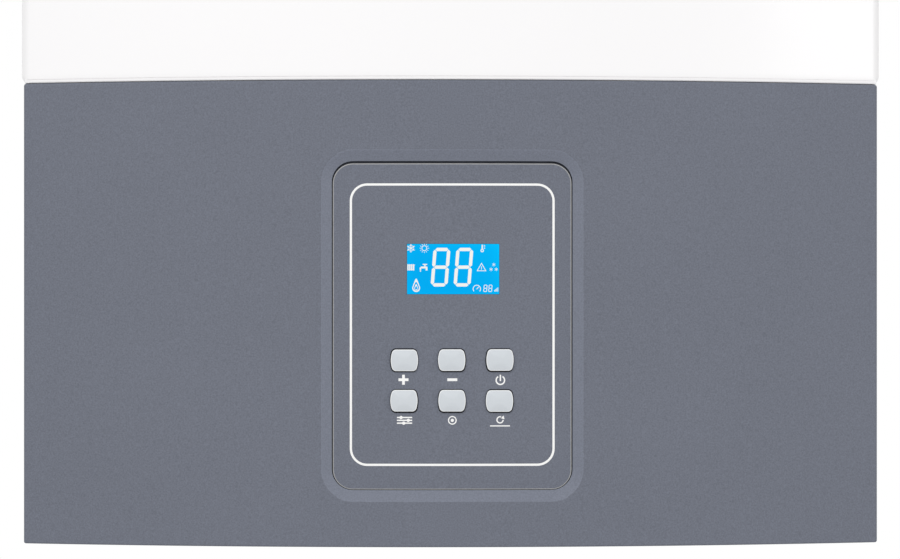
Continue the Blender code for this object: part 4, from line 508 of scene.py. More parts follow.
cover_foot = cover_low.z - HEM_DROP
cover_rolls = (COVER_ROLL, HEM_ROLL, COVER_ROLL * 0.9)
cover = shell("front_cover_sheet", COVER_HALF, cover_foot, cover_high.z, COVER_SHEET, *cover_rolls)
for i in range(1, CURL_ROWS + 1):
    with editing(cover):
        slice_at((0, 0, cover_foot + HEM_ROLL + i * HEM_CURL / CURL_ROWS), (0, 0, 1))
for vertex in cover.data.vertices:
    height = (vertex.co.z - cover_foot - HEM_ROLL) / HEM_CURL
    curl = max(1 - max(height, 0), 0) ** 2
    if vertex.co.y < -EDGE_DEPTH + COVER_SHEET / 2:
        vertex.co.y += HEM_CURL_BACK * curl
    if abs(vertex.co.x) > HALF_WIDTH:
        vertex.co.x -= math.copysign(COVER_OVERHANG * curl, vertex.co.x)
line_low = (-COVER_HALF - MM, -EDGE_DEPTH - MM, cover_low.z + HEM_HEIGHT)
line_high = (COVER_HALF + MM, -EDGE_DEPTH + HEM_CURL_BACK + HEM_LINE, cover_low.z + HEM_HEIGHT + HEM_LINE)
cut_away(cover, block("hem_line", line_low, line_high))
bend_to(cover, SHELL_CAGE)
cut_lip(cover, cover_low.z, COVER_LIP_DEPTH)
smooth(cover)
hand_over(cover, WHITE_ENAMEL, "cover", "white_enamel", "front_cover")
print("cover faces:", len(cover.data.polygons))

# %% [markdown]
# ## The control fascia
#
# The fascia is moulded as wide as the cover, with crisper edges than pressed sheet can have. A rounded
# opening takes the control panel. Round it runs a sloping band, which is cut with a block whose rear face
# is inset and pushed back: the sides of that inset are the slope.

# %% Fascia
FASCIA_WALL = 2.5 * MM
FASCIA_ROLL = 1.2 * MM
FASCIA_LIP_DEPTH = 246 * MM
BAND_WIDTH = 5.05 * MM
BAND_DEPTH = 3 * MM
BAND_OUTER = Vector((121.2 * MM, 0, 161.7 * MM))
BAND_RADIUS = 14.7 * MM
BAND_RISE = 0.35 * MM
BAND_OVERRUN = 0.5 * MM
MOUTH_ROLL = 0.5 * MM
PAD_MARGIN = 6 * MM
PAD_DEPTH = 4 * MM
PANEL_Z = middle_of("control_panel").z
BAND_Z = PANEL_Z + BAND_RISE
PAD_BACK = EDGE_DEPTH - FASCIA_WALL - PAD_DEPTH


def rounded_block(name, middle, size, radius, segments=8):
    """A block whose four edges that run back from the front are rounded."""
    middle, half = Vector(middle), Vector(size) / 2
    piece = block(name, middle - half, middle + half)
    round_off(piece, runs_back, radius, segments)
    return piece


def band_cutter():
    """The slope starts a little in front of the fascia, so that the cut crosses its face cleanly."""
    spread = BAND_OVERRUN * BAND_WIDTH / BAND_DEPTH
    middle = (0, -EDGE_DEPTH - 1.5 * BAND_OVERRUN, BAND_Z)
    size = (BAND_OUTER.x + 2 * spread, BAND_OVERRUN, BAND_OUTER.z + 2 * spread)
    cutter = rounded_block("band", middle, size, BAND_RADIUS + spread, 12)
    with editing(cutter, "FACE", looks(0, 1, 0)):
        bpy.ops.mesh.inset(thickness=BAND_WIDTH + spread)
        bpy.ops.transform.translate(value=(0, BAND_DEPTH + BAND_OVERRUN, 0))
        extrude(0, EDGE_DEPTH - BAND_DEPTH - PAD_BACK + BAND_OVERRUN, 0)
    return cutter


fascia_rolls = (FASCIA_ROLL, FASCIA_ROLL * 0.8, FASCIA_ROLL)
fascia = shell("control_fascia_moulding", HALF_WIDTH, fascia_low.z, fascia_high.z, FASCIA_WALL, *fascia_rolls)
pad_size = BAND_OUTER + 2 * PAD_MARGIN * Vector((1, 0, 1))
pad_size.y = EDGE_DEPTH - PAD_BACK - FASCIA_WALL / 2
weld_on(fascia, rounded_block("pad", (0, -(PAD_BACK + pad_size.y / 2), BAND_Z), pad_size, BAND_RADIUS))
cut_away(fascia, band_cutter())


def within(place, margin):
    """Whether a place lies inside the band's outline, or near it by the margin."""
    return abs(place.x) < BAND_OUTER.x / 2 + margin and abs(place.z - BAND_Z) < BAND_OUTER.z / 2 + margin


def on_outline(place, way):
    return within(place, NEAR) and abs(place.y + EDGE_DEPTH) < NEAR / 10


round_off(fascia, on_outline, MOUTH_ROLL, 3)
bend_to(fascia, SHELL_CAGE)
for z in (fascia_low.z, fascia_high.z):
    cut_lip(fascia, z, FASCIA_LIP_DEPTH)
smooth(fascia)
hand_over(fascia, FASCIA_GREY, "control_box", "grey_fascia", "control_fascia")


def on_band(place, way):
    return within(place, MM) and -0.97 < way.y < -0.5 and -place.y > EDGE_DEPTH - BAND_DEPTH


paint(fascia, on_band, PAINTED_LIGHT_BAND_GREY)
print("fascia faces:", len(fascia.data.polygons))

# %% [markdown]
# ## Buttons
#
# The six push buttons are satin grey mouldings: flat above and below, a little bulged at the sides like a
# barrel, and crowned. One button is modelled at the origin. Its rows are widened towards the middle, its
# front edge is bevelled and the bevel is painted near white as a painted highlight, and insets that step
# forward make the crown. The part of each cap behind the panel is painted near black as painted shade.

# %% One button
BUTTON_SIZE = Vector((12.6 * MM, 0, 9.95 * MM))
BUTTON_CORNER = 1.25 * MM
BUTTON_BULGE = 1.1 * MM
BUTTON_ROWS = 12
BUTTON_PROUD = 1.5 * MM
BUTTON_RIM_WIDTH = 0.34 * MM
BUTTON_FOOT = 0.5 * MM
COLLAR_STEP = ((1.2, 1, 1.24), 1 * MM)
STEM_STEP = ((0.25, 1, 0.3), 2.5 * MM)
PANEL_WALL = 2.5 * MM
PANEL_FRONT = EDGE_DEPTH - BAND_DEPTH
CROWN = ((0.82, 0.24 * MM), (0.78, 0.26 * MM), (0.66, 0.22 * MM), (0.4, 0.12 * MM))


def barrel(name, size, corner, bulge, front, back):
    """A short bar along Y with the button's outline, bulged at its sides."""
    half = size.x / 2 - bulge
    piece = rounded_block(name, (0, -(front + back) / 2, 0), (2 * half, front - back, size.z), corner)
    with editing(piece):
        for i in range(1, BUTTON_ROWS):
            slice_at((0, 0, size.z * (i / BUTTON_ROWS - 0.5)), (0, 0, 1))
    for height in sorted({round(vertex.co.z, 6) for vertex in piece.data.vertices}):
        widening = 1 + bulge * (1 - (2 * height / size.z) ** 2) / half
        with editing(piece, "VERT", lambda place, way: abs(place.z - height) < 0.002 * MM):
            bpy.ops.transform.resize(value=(widening, 1, 1), center_override=(0, 0, 0))
    return piece


def make_button():
    back = -(BUTTON_PROUD + PANEL_WALL + BUTTON_FOOT)
    button = barrel("button", BUTTON_SIZE, BUTTON_CORNER, BUTTON_BULGE, 0, back)
    with editing(button, "FACE", looks(0, -1, 0)):
        bpy.ops.mesh.dissolve_faces()
    round_off(button, lambda place, way: abs(place.y) < NEAR / 10, BUTTON_RIM_WIDTH, 3)
    with editing(button, "FACE", looks(0, -1, 0)):
        for shrink, rise in CROWN:
            step_to((shrink, 1, shrink), (0, -rise, 0))
    with editing(button, "FACE", looks(0, 1, 0)):
        bpy.ops.mesh.dissolve_faces()
    with editing(button, "FACE", looks(0, 1, 0)):
        for scale, deep in (COLLAR_STEP, STEM_STEP):
            step_to(scale)
            extrude(0, deep, 0)
    return smooth(button, 45)


def button_finish(name, colour):
    finish = Finish(name)
    grain = finish.noise(2600, 2)
    drift = finish.noise(90, 2)
    finish.set(Base_Color=finish.shades(grain * 0.5 + drift * 0.5, colour, 0.03))
    finish.set(Roughness=grain * 0.1 + 0.36, Normal=finish.bump(grain, 0.01 * MM, 0.4))
    return finish.material


BUTTON_GREY = button_finish("button_grey", (0.644, 0.682, 0.718))
# the rim's near white is a painted highlight on the bevel
BUTTON_PAINTED_HIGHLIGHT = button_finish("button_rim", (0.96, 0.97, 0.98))
# the near black behind each cap is painted shade in the opening
BUTTON_PAINTED_SHADE = button_finish("button_mat", (0.02, 0.02, 0.022))
pattern = make_button()
print("one button has", len(pattern.data.polygons), "faces")

# %% Six buttons
# from this depth back, each cap is painted near black as painted shade
PAINTED_SHADE_DEPTH = BUTTON_PROUD + PANEL_WALL + CLEARANCE
# the caps sit a little loosely, each its own way: how far right and up, in mm
BUTTON_SEATS = {
    "plus": (-0.08, 0.14), "minus": (-0.30, 0.24), "power": (-0.04, 0.28),
    "mode": (-0.30, 0.34), "info": (-0.16, 0.34), "reset": (-0.28, 0.20),
}


def button_part(place, way, front):
    """0 on a cap's crown and sides, 1 on the rim's painted highlight, 2 on the painted shade behind."""
    if place.y > front + PAINTED_SHADE_DEPTH:
        return 2
    return place.y > front + NEAR / 10 and -0.985 < way.y < -0.3


button_places = {}
for sign, (right, up) in BUTTON_SEATS.items():
    node = "button_" + sign
    spot = middle_of(node)
    spot.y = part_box(node)[0].y
    button_places[sign] = spot
    cap = twin(pattern, node + "_cap")
    cap.data.transform(Matrix.Translation(spot + Vector((right * MM, 0, up * MM))))
    hand_over(cap, BUTTON_GREY, sign + "_button", "button_grey", node)
    paint(cap, lambda place, way: button_part(place, way, spot.y), BUTTON_PAINTED_HIGHLIGHT, BUTTON_PAINTED_SHADE)
bpy.data.objects.remove(pattern)
print("buttons at", {sign: [round(v * 1000, 1) for v in spot] for sign, spot in button_places.items()})

# %% [markdown]
# ## The control panel
#
# The panel is a plate that drops into the fascia's opening, with a fine dark gap all round. Its front edge
# has a small bevel, painted a paler grey as a painted highlight, a thin bright line. The window and the six
# openings are cut while it is flat, the openings with the button's own outline made a little larger.

# %% Panel
SIDE_GAP = 0.42 * MM
UPPER_GAP = 1.02 * MM
LOWER_GAP = 0.15 * MM
PANEL_EDGE = 0.5 * MM
PANEL_RIM = 4 * MM
RIM_THICK = 1.5 * MM
RIM_FRONT = PAD_BACK - CLEARANCE
RIM_BACK = RIM_FRONT - RIM_THICK
SKIRT_INSET = 0.05 * MM
WINDOW_GAP = 0.12 * MM
PLATE_GROWTH = Vector((0.2 * MM, 0, 0.27 * MM))
BUTTON_SLACK = 0.52 * MM
OPENING_SHIFT = Vector((-0.19 * MM, -PANEL_FRONT, 0.16 * MM))
OPENING_REACH = 5 * MM

opening_size = BAND_OUTER - 2 * BAND_WIDTH * Vector((1, 0, 1))
PANEL_SIZE = (opening_size.x - 2 * SIDE_GAP, PANEL_WALL, opening_size.z - UPPER_GAP - LOWER_GAP)
PLATE_Z = BAND_Z - (UPPER_GAP - LOWER_GAP) / 2
PANEL_RADIUS = BAND_RADIUS - BAND_WIDTH - SIDE_GAP
lens_low, lens_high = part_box("display_lens")
DISPLAY_X = 0.4 * MM
DISPLAY_RISE = 0.28 * MM
DISPLAY_Z = middle_of("display_lens").z + DISPLAY_RISE
lens_half = (lens_high - lens_low) / 2 + PLATE_GROWTH
DISPLAY_SIZE = (2 * (lens_half.x + WINDOW_GAP), 2 * (lens_half.z + WINDOW_GAP))

plate_middle = (0, -PANEL_FRONT + PANEL_WALL / 2, PLATE_Z)
panel = rounded_block("control_panel_plate", plate_middle, PANEL_SIZE, PANEL_RADIUS, 12)
round_off(panel, lambda place, way: abs(place.y + PANEL_FRONT) < NEAR, PANEL_EDGE, 3)
window_half = Vector((DISPLAY_SIZE[0] / 2, OPENING_REACH, DISPLAY_SIZE[1] / 2))
window_middle = Vector((DISPLAY_X, -PANEL_FRONT, DISPLAY_Z))
cut_away(panel, block("window", window_middle - window_half, window_middle + window_half))
opening = BUTTON_SIZE + 2 * Vector((CLEARANCE, 0, BUTTON_SLACK))
for place in button_places.values():
    tool = barrel("opening", opening, BUTTON_CORNER + CLEARANCE, BUTTON_BULGE, OPENING_REACH, -OPENING_REACH)
    tool.data.transform(Matrix.Translation(Vector((place.x, 0, place.z)) + OPENING_SHIFT))
    cut_away(panel, tool)


def panel_block(name, wider, front, back):
    """A rounded block behind the panel, wider than it by the given margin all round."""
    size = (PANEL_SIZE[0] + 2 * wider, front - back, PANEL_SIZE[2] + 2 * wider)
    return rounded_block(name, (0, -(front + back) / 2, PLATE_Z), size, PANEL_RADIUS + wider / 2)


skirt = panel_block("skirt", -SKIRT_INSET, PANEL_FRONT - PANEL_WALL / 2, RIM_BACK)
weld_on(skirt, panel_block("rim", PANEL_RIM, RIM_FRONT, RIM_BACK))
cut_away(skirt, panel_block("inside", -PANEL_RIM, PANEL_FRONT, RIM_BACK - MM))
weld_on(panel, skirt)
bend_to(panel, FACE_CAGE)
smooth(panel)
hand_over(panel, FASCIA_GREY, "control_box", "grey_fascia", "control_panel")
print("panel faces:", len(panel.data.polygons))

# %% The panel's edge, with a painted highlight
# the edge's pale grey is a painted highlight, standing in for light caught by the bevel
PANEL_EDGE_HIGHLIGHT = moulded_finish("panel_edge_painted_highlight", (0.40, 0.40, 0.40), spread=0.1, roughness=0.4)
plate_half = Vector(PANEL_SIZE) / 2 - Vector((PANEL_EDGE, 0, PANEL_EDGE)) * 1.05


def on_plate_edge(place, way):
    across, up = abs(place.x), abs(place.z - PLATE_Z)
    between_corners = across < plate_half.x - PANEL_RADIUS or up < plate_half.z - PANEL_RADIUS
    if between_corners and across < plate_half.x and up < plate_half.z:
        return False
    return -0.97 < way.y < -0.1 and place.y < -(PANEL_FRONT - PANEL_EDGE)


paint(panel, on_plate_edge, PANEL_EDGE_HIGHLIGHT)
print("edge faces:", sum(face.material_index for face in panel.data.polygons))

# %% [markdown]
# ## Printing
#
# The white frame line and the signs under the buttons are printed on the panel. Print is thin, but it is
# real ink, so it is made as a film a few hundredths of a millimetre thick. Three strokes are enough for
# every sign: a bar, a disc and a ring, which may be open. A pen holds the spot and the unit, so a sign is
# drawn in its own millimetres or pixels. The strokes are drawn flat, joined, thickened and bent with the
# panel.

# %% Strokes
FILM = 0.04 * MM
FACING = math.radians(90)


class Pen:
    """Draws flat strokes round a spot on the front, with measures in its own unit."""

    def __init__(self, x, z, unit=MM, depth=PANEL_FRONT):
        self.x = x
        self.z = z
        self.unit = unit
        self.depth = depth

    def spot(self, across, up):
        return Vector((self.x + across * self.unit, -self.depth, self.z + up * self.unit))

    def bar(self, across, up, wide, high, lean=0):
        size = (wide * self.unit, high * self.unit, 1)
        turn = (FACING, math.radians(lean), 0)
        add = bpy.ops.mesh.primitive_plane_add
        return [added("bar", add, size, size=1, location=self.spot(across, up), rotation=turn)]

    def disc(self, across, up, radius, corners=24, turn=0):
        return [added(
            "disc", bpy.ops.mesh.primitive_circle_add, vertices=corners, radius=radius * self.unit,
            fill_type="NGON", location=self.spot(across, up), rotation=(FACING, math.radians(turn), 0),
        )]

    def ring(self, across, up, radius, stroke, corners=36, gap=0, gap_at=90):
        """A ring, or an arc when a gap is left out of it round the given angle."""
        middle = self.spot(across, up)

        def in_gap(place, way):
            angle = math.degrees(math.atan2(place.z - middle.z, place.x - middle.x))
            return abs((angle - gap_at + 180) % 360 - 180) < gap / 2

        [piece] = self.disc(across, up, radius, corners)
        with editing(piece):
            bpy.ops.mesh.inset(thickness=stroke * self.unit)
            bpy.ops.mesh.delete(type="FACE")
        if gap:
            with editing(piece, "FACE", in_gap):
                bpy.ops.mesh.delete(type="FACE")
        return [piece]

    def star(self, across, up, rays, inner, outer, stroke):
        """Short bars that stand round a point, between two radii."""
        pieces = []
        reach = (inner + outer) / 2
        for i in range(rays):
            angle = math.pi / 2 + 2 * math.pi * i / rays
            middle = (across + reach * math.cos(angle), up + reach * math.sin(angle))
            pieces += self.bar(*middle, stroke, outer - inner, 90 - math.degrees(angle))
        return pieces


print("pen ready")

# %% Ink
def printed(name, strokes, finish):
    """Joins strokes into one thin film, and bends it with the front."""
    sign = join_up(name, strokes)
    with editing(sign, "VERT"):
        merge_doubles()
        point_outwards()
    for face in sign.data.polygons:
        if face.normal.y > 0:
            face.flip()
    apply(sign, "SOLIDIFY", thickness=FILM, offset=1)
    bend_to(sign, FACE_CAGE)
    return hand_over(sign, finish, "control_box", "white_enamel")


def ink_finish():
    finish = Finish("white_ink")
    body = finish.noise(900, 3)
    finish.set(Base_Color=finish.shades(body, (0.985, 0.98, 0.965), 0.02), Roughness=body * 0.2 + 0.4)
    finish.set(Normal=finish.bump(body, 0.01 * MM, 0.3))
    return finish.material


WHITE_INK = ink_finish()
print("ink ready")

# %% [markdown]
# ## The frame line and the signs
#
# The frame line is a rounded plate with a slightly smaller one cut out. The signs say what each button does
# without words: plus and minus, the power sign, three bars for the menu, a dot in a ring for the
# information, and an arrow that turns back for the reset.

# %% Frame line and signs
LINE_SIZE = Vector((94.5 * MM, FILM, 130.2 * MM))
LINE_WIDTH = 1.03 * MM
LINE_RISE = 0.76 * MM
LINE_RADIUS = 8 * MM
SIGN_DROP = 8.8
PLUS_SPAN = 4.6
PLUS_STROKE = 1.25
MENU_PITCH = 1.3
MENU_KNOBS = ((-1.6, 1), (1.7, 0), (-0.4, -1))


def frame_line():
    middle = (0, -PANEL_FRONT - FILM / 2, PANEL_Z + LINE_RISE)
    line = rounded_block("printed_frame_line", middle, LINE_SIZE, LINE_RADIUS, 12)
    inner = LINE_SIZE - 2 * LINE_WIDTH * Vector((1, 0, 1))
    inner.y = 4 * MM
    cut_away(line, rounded_block("inside", middle, inner, LINE_RADIUS - LINE_WIDTH, 12))
    bend_to(line, FACE_CAGE)
    return hand_over(line, WHITE_INK, "control_box", "white_enamel")


def pen_under(sign, drop=SIGN_DROP):
    """A pen at the spot under a button."""
    return Pen(button_places[sign].x, button_places[sign].z - drop * MM)


def draw_menu(pen):
    lines = [pen.bar(0, row * MENU_PITCH, 7, 0.6)[0] for row in (1, 0, -1)]
    knobs = [pen.disc(across, row * MENU_PITCH, 0.75)[0] for across, row in MENU_KNOBS]
    return lines + knobs


frame_line()
pen = pen_under("plus")
plus = pen.bar(-0.5, 0, PLUS_SPAN, PLUS_STROKE) + pen.bar(-0.5, 0, PLUS_STROKE, PLUS_SPAN)
printed("sign_plus", plus, WHITE_INK)
pen = pen_under("minus")
printed("sign_minus", pen.bar(0, 0, PLUS_SPAN, PLUS_STROKE), WHITE_INK)
pen = pen_under("power")
power = pen.ring(0.15, -0.25, 2.25, 0.62, 48, gap=56) + pen.bar(0.15, 0.8, 0.66, 2.9)
printed("sign_power", power, WHITE_INK)
printed("sign_menu", draw_menu(pen_under("mode", 8.7)), WHITE_INK)
pen = pen_under("info", 8.7)
printed("sign_info", pen.ring(0, 0, 2, 0.5) + pen.disc(0, 0, 0.75), WHITE_INK)
pen = pen_under("reset", 8.5)
turn_back = pen.ring(0, 0, 1.7, 0.55, gap=70, gap_at=35) + pen.disc(1.35, 1, 1, 3, 15)
printed("sign_reset", turn_back + pen.bar(0, -2.8, 9.2, 0.5), WHITE_INK)
print("signs printed")

# %% [markdown]
# ## The display
#
# A liquid crystal display glows evenly from behind. Its window is a clear plate over a blue sheet, and the
# signs are lit parts of the crystal just under its face. Here the plate is the blue part, a little brighter
# towards its edges where the lamps sit, and the signs lie on it as thin, pale films.

# %% Display plate
LENS_FRONT = PANEL_FRONT - CLEARANCE
LENS_EDGE = 0.15 * MM


def display_finish():
    finish = Finish("display_blue")
    axes = finish.node("ShaderNodeSeparateXYZ", {}, {0: finish.place})
    across = (axes.output("X") - DISPLAY_X) / (DISPLAY_SIZE[0] / 2)
    up = (axes.output("Z") - DISPLAY_Z) / (DISPLAY_SIZE[1] / 2)
    corner = finish.between(across + up, -0.6, 2.2)
    edge = finish.between(across**8 + up**8, 0.1, 1.2)
    lit = corner * 0.45 + edge * 0.35 + finish.noise(700, 2) * 0.05
    finish.set(Base_Color=finish.blend(lit, (0.0, 0.09, 0.22, 1), (0.0, 0.12, 0.26, 1)))
    finish.set(Emission_Color=finish.blend(lit, (0.0, 0.40, 0.84, 1), (0.0, 0.56, 0.99, 1)))
    finish.set(Emission_Strength=0.80, Roughness=0.28, Specular_IOR_Level=0.03)
    return finish.material


def lit_finish():
    finish = Finish("lit_segment")
    pale = finish.shades(finish.noise(1200, 2), (0.86, 0.85, 0.80), 0.03)
    finish.set(Base_Color=(0.35, 0.35, 0.34, 1), Emission_Color=pale, Emission_Strength=0.62, Roughness=0.4)
    return finish.material


DISPLAY_GLOW = display_finish()
LIT = lit_finish()
lens_half.y = (lens_high.y - lens_low.y - bow(0) + bow(lens_half.x)) / 2
lens_middle = Vector((DISPLAY_X, -LENS_FRONT + lens_half.y, DISPLAY_Z))
lens = block("display_plate", lens_middle - lens_half, lens_middle + lens_half)
apply(lens, "BEVEL", width=LENS_EDGE, segments=2)
bend_to(lens, FACE_CAGE)
smooth(lens)
hand_over(lens, DISPLAY_GLOW, "control_box", "display_blue", "display_lens")
print("lens", [round(v * 1000, 2) for v in lens_half])

# %% [markdown]
# ## Seven-segment digits
#
# Each segment is a narrow hexagon: a bar whose two ends come to a point, so that neighbours mitre with a
# thin gap between them. A six-sided disc, stretched along one axis, is that shape. The digits lean to the
# right by a few degrees, which is done to the whole digit afterwards.

# %% Digits
DIGIT_LEAN = 4.6
DIGIT_GAP_SHARE = 0.2
DIGIT_SIZE = (17.1, 38.9, 3.35)
SMALL_DIGIT_SIZE = (3.7, 7.2, 0.7)
PIXEL = 0.4596 * MM
DISPLAY_PIXEL = (453.3, 269.3)
DIGIT_PIXELS = {"digit_tens": (440.6, 267.4), "digit_units": (463.6, 267.4)}
SMALL_DIGIT_PIXELS = {"small_tens": (485.6, 288.6), "small_units": (490.6, 288.6)}


def pen_at(px, py):
    """A pen on the display, at a place of the photograph and with its pixel as the unit."""
    x = DISPLAY_X + (px - DISPLAY_PIXEL[0]) * PIXEL
    z = DISPLAY_Z - (py - DISPLAY_PIXEL[1]) * PIXEL
    return Pen(x, z, PIXEL, LENS_FRONT)


def segment(pen, across, up, long, stroke, upright):
    """A bar with pointed ends."""
    [piece] = pen.bar(across, up, stroke, long) if upright else pen.bar(across, up, long, stroke)
    middle = pen.spot(across, up)

    def at_end(place, way):
        away = place.z - middle.z if upright else place.x - middle.x
        return abs(abs(away) - long * pen.unit / 2) < 0.01 * MM

    with editing(piece, "EDGE", at_end):
        bpy.ops.mesh.bevel(offset=stroke * pen.unit * 0.49, segments=1, affect="VERTICES")
    return piece


def digit(pen, wide, high, stroke):
    """An eight, which is a digit with all its seven segments lit."""
    half_wide, half_high = (wide - stroke) / 2, (high - stroke) / 2
    gap = stroke * DIGIT_GAP_SHARE
    pieces = [segment(pen, 0, level * half_high, 2 * half_wide - gap, stroke, False) for level in (-1, 0, 1)]
    for side in (-1, 1):
        for level in (-0.5, 0.5):
            pieces.append(segment(pen, side * half_wide, level * half_high, half_high - gap, stroke, True))
    for piece in pieces:
        for vertex in piece.data.vertices:
            vertex.co.x += (vertex.co.z - pen.z) * math.tan(math.radians(DIGIT_LEAN))
    return pieces


for name, pixel in DIGIT_PIXELS.items():
    printed(name, digit(pen_at(*pixel), *DIGIT_SIZE), LIT)
print("digits lit")

# %% [markdown]
# ## Signs on the display
#
# Besides the digits the display has small signs for winter, summer, heating, hot water and the flame. They
# are the common pictograms that any boiler uses, drawn from bars, discs and rings.

# %% Pictograms
SNOW_PIXEL = (410.9, 248.4)
SUN_PIXEL = (424.4, 248.4)
RADIATOR_PIXEL = (410.8, 267.6)
TAP_PIXEL = (423.4, 267.7)


def draw_radiator(pen):
    columns = [pen.bar((i - 1.5) * 1.9, 0, 1.35, 6.2)[0] for i in range(4)]
    return columns + pen.bar(0.4, 2.2, 7.6, 0.55) + pen.bar(0, -2.2, 7, 0.55)


def draw_tap(pen):
    spout = pen.bar(0.6, 0, 6.4, 1.9) + pen.bar(-2.9, -1.2, 1.5, 2.4)
    handle = pen.bar(1.6, 1.8, 1.2, 2.4) + pen.bar(1.6, 3.1, 4.6, 1)
    wall_side = pen.bar(3.2, -1.3, 1.9, 3.4)
    return spout + handle + wall_side + pen.disc(-2.9, -3.5, 0.7, 12)


pen = pen_at(*SNOW_PIXEL)
printed("sign_snow", pen.star(0, 0, 6, 0.2, 4.2, 0.75) + pen.star(0, 0, 6, 2.4, 3, 2.5), LIT)
pen = pen_at(*SUN_PIXEL)
printed("sign_sun", pen.ring(0, 0, 2.8, 0.65) + pen.star(0, 0, 12, 3.4, 4.7, 0.5), LIT)
printed("sign_radiator", draw_radiator(pen_at(*RADIATOR_PIXEL)), LIT)
printed("sign_tap", draw_tap(pen_at(*TAP_PIXEL)), LIT)
print("small signs lit")

# %% [markdown]
# ## The flame and the right side
#
# The flame is a drop: a ring whose upper points are drawn up to a tip, with the pull growing towards the
# top. The same drop, made smaller, stands inside it. On the right side of the display are a triangle, three
# stars, a thermometer, two small digits, a gauge and a level.

# %% Flame, triangle, stars and gauge
FLAME_PIXEL = (416.2, 288.4)
TRIANGLE_PIXEL = (481.7, 268.5)
STAR_PIXELS = ((494.1, 264.8), (491.3, 269.6), (496.5, 269.6))
THERMOMETER_PIXEL = (482.4, 248.6)
GAUGE_PIXEL = (477.0, 289.2)
LEVEL_PIXEL = (494.8, 291.0)
DROP_PULL = 0.62
DROP_BELLY = 0.4


def drop_line(pen, up, radius, height, stroke):
    """The line round a drop, which grows thicker towards its tip."""
    [piece] = pen.ring(0, up, radius, stroke, 40)
    middle = pen.spot(0, up)
    for vertex in piece.data.vertices:
        rise = max(vertex.co.z - middle.z, 0) / (radius * pen.unit)
        vertex.co.z += (height - radius) * pen.unit * rise**2
        share = 1 - DROP_PULL * rise**2 * (1 - DROP_BELLY * rise)
        vertex.co.x = middle.x + (vertex.co.x - middle.x) * share
    return [piece]


pen = pen_at(*FLAME_PIXEL)
flame = drop_line(pen, 0, 3.9, 9.6, 0.95) + drop_line(pen, -1.1, 2.2, 5.2, 0.6)
printed("sign_flame", flame + pen.disc(0, -1.7, 0.75, 16), LIT)
pen = pen_at(*TRIANGLE_PIXEL)
printed("sign_triangle", pen.ring(0, 0, 5.7, 0.7, 3) + pen.bar(0, 0.3, 0.6, 3.2), LIT)
stars = []
for pixel in STAR_PIXELS:
    pen = pen_at(*pixel)
    stars += pen.disc(0, 0, 0.6, 12) + pen.star(0, 0, 6, 0.5, 1.8, 0.4)
printed("sign_stars", stars, LIT)
pen = pen_at(*THERMOMETER_PIXEL)
tube = pen.ring(0, -2.1, 1.7, 0.9, 24) + pen.bar(0, 1.4, 1.2, 4.6)
printed("sign_thermometer", tube + [pen.bar(2.2, i * 1.5, 1.3, 0.6)[0] for i in range(3)], LIT)
for name, pixel in SMALL_DIGIT_PIXELS.items():
    printed(name, digit(pen_at(*pixel), *SMALL_DIGIT_SIZE), LIT)
pen = pen_at(*GAUGE_PIXEL)
printed("sign_gauge", pen.ring(0, 0, 4.1, 0.75, gap=100, gap_at=-90) + pen.bar(0.9, 0.9, 0.7, 3.2, 45), LIT)
pen = pen_at(*LEVEL_PIXEL)
printed("sign_level", [pen.bar(i * 1.1, i * 0.4, 0.6, 1.6 + 0.8 * i)[0] for i in range(4)], LIT)
print("flame and gauge lit")

# %% [markdown]
# ## Metals
#
# One recipe serves every metal here. A stretched noise gives the marks of drawing, rolling or brushing, a
# broad noise the handling and the tarnish, and both move the colour a little and the roughness a lot,
# because that is what scratches do to metal. Each metal then says how far its marks are stretched along
# each axis.

# %% Metal finishes
def metal_finish(name, colour, grain, spread, roughness, tarnish=None, pits=0.02 * MM):
    finish = Finish(name)
    marks = finish.noise(1, 3, finish.stretched(grain))
    handling = finish.noise(26, 4)
    tint = finish.shades(finish.between(marks * 0.7 + handling * 0.3, 0.3, 0.7), colour, spread)
    if tarnish:
        tint = finish.blend(finish.between(handling, 0.48, 0.72), tint, tarnish + (1,))
    finish.set(Base_Color=tint, Metallic=0.9)
    finish.set(Roughness=marks * 0.22 + handling * 0.14 + (roughness - 0.18))
    finish.set(Normal=finish.bump(marks, pits, 0.4))
    return finish.material


def spangled_finish():
    """Zinc freezes on steel in flat crystals, each one a slightly different grey."""
    finish = Finish("galvanised_sheet")
    crystals = finish.node("ShaderNodeTexVoronoi", {}, {"Vector": finish.place, "Scale": 95.0}, "Color")
    shade = finish.node("ShaderNodeSeparateColor", {}, {0: crystals})
    dust = finish.noise(40, 4)
    mix = shade * 0.7 + dust * 0.3
    finish.set(Base_Color=finish.shades(mix, (0.54, 0.555, 0.57), 0.14), Metallic=0.85)
    finish.set(Roughness=shade * 0.16 + dust * 0.1 + 0.3, Normal=finish.bump(dust, 0.03 * MM, 0.3))
    return finish.material


print("metals ready")

# %% Fibre, lacquer and glass
def fibre_finish():
    finish = Finish("ceramic_fibre")
    strands = finish.noise(1, 5, finish.stretched((900, 260, 500)), 0.7)
    lumps = finish.noise(60, 4)
    mix = strands * 0.6 + lumps * 0.4
    finish.set(Base_Color=finish.shades(mix, (0.80, 0.78, 0.72), 0.12), Roughness=0.95)
    finish.set(Normal=finish.bump(strands * 0.5 + lumps * 0.5, 0.6 * MM, 0.8))
    return finish.material


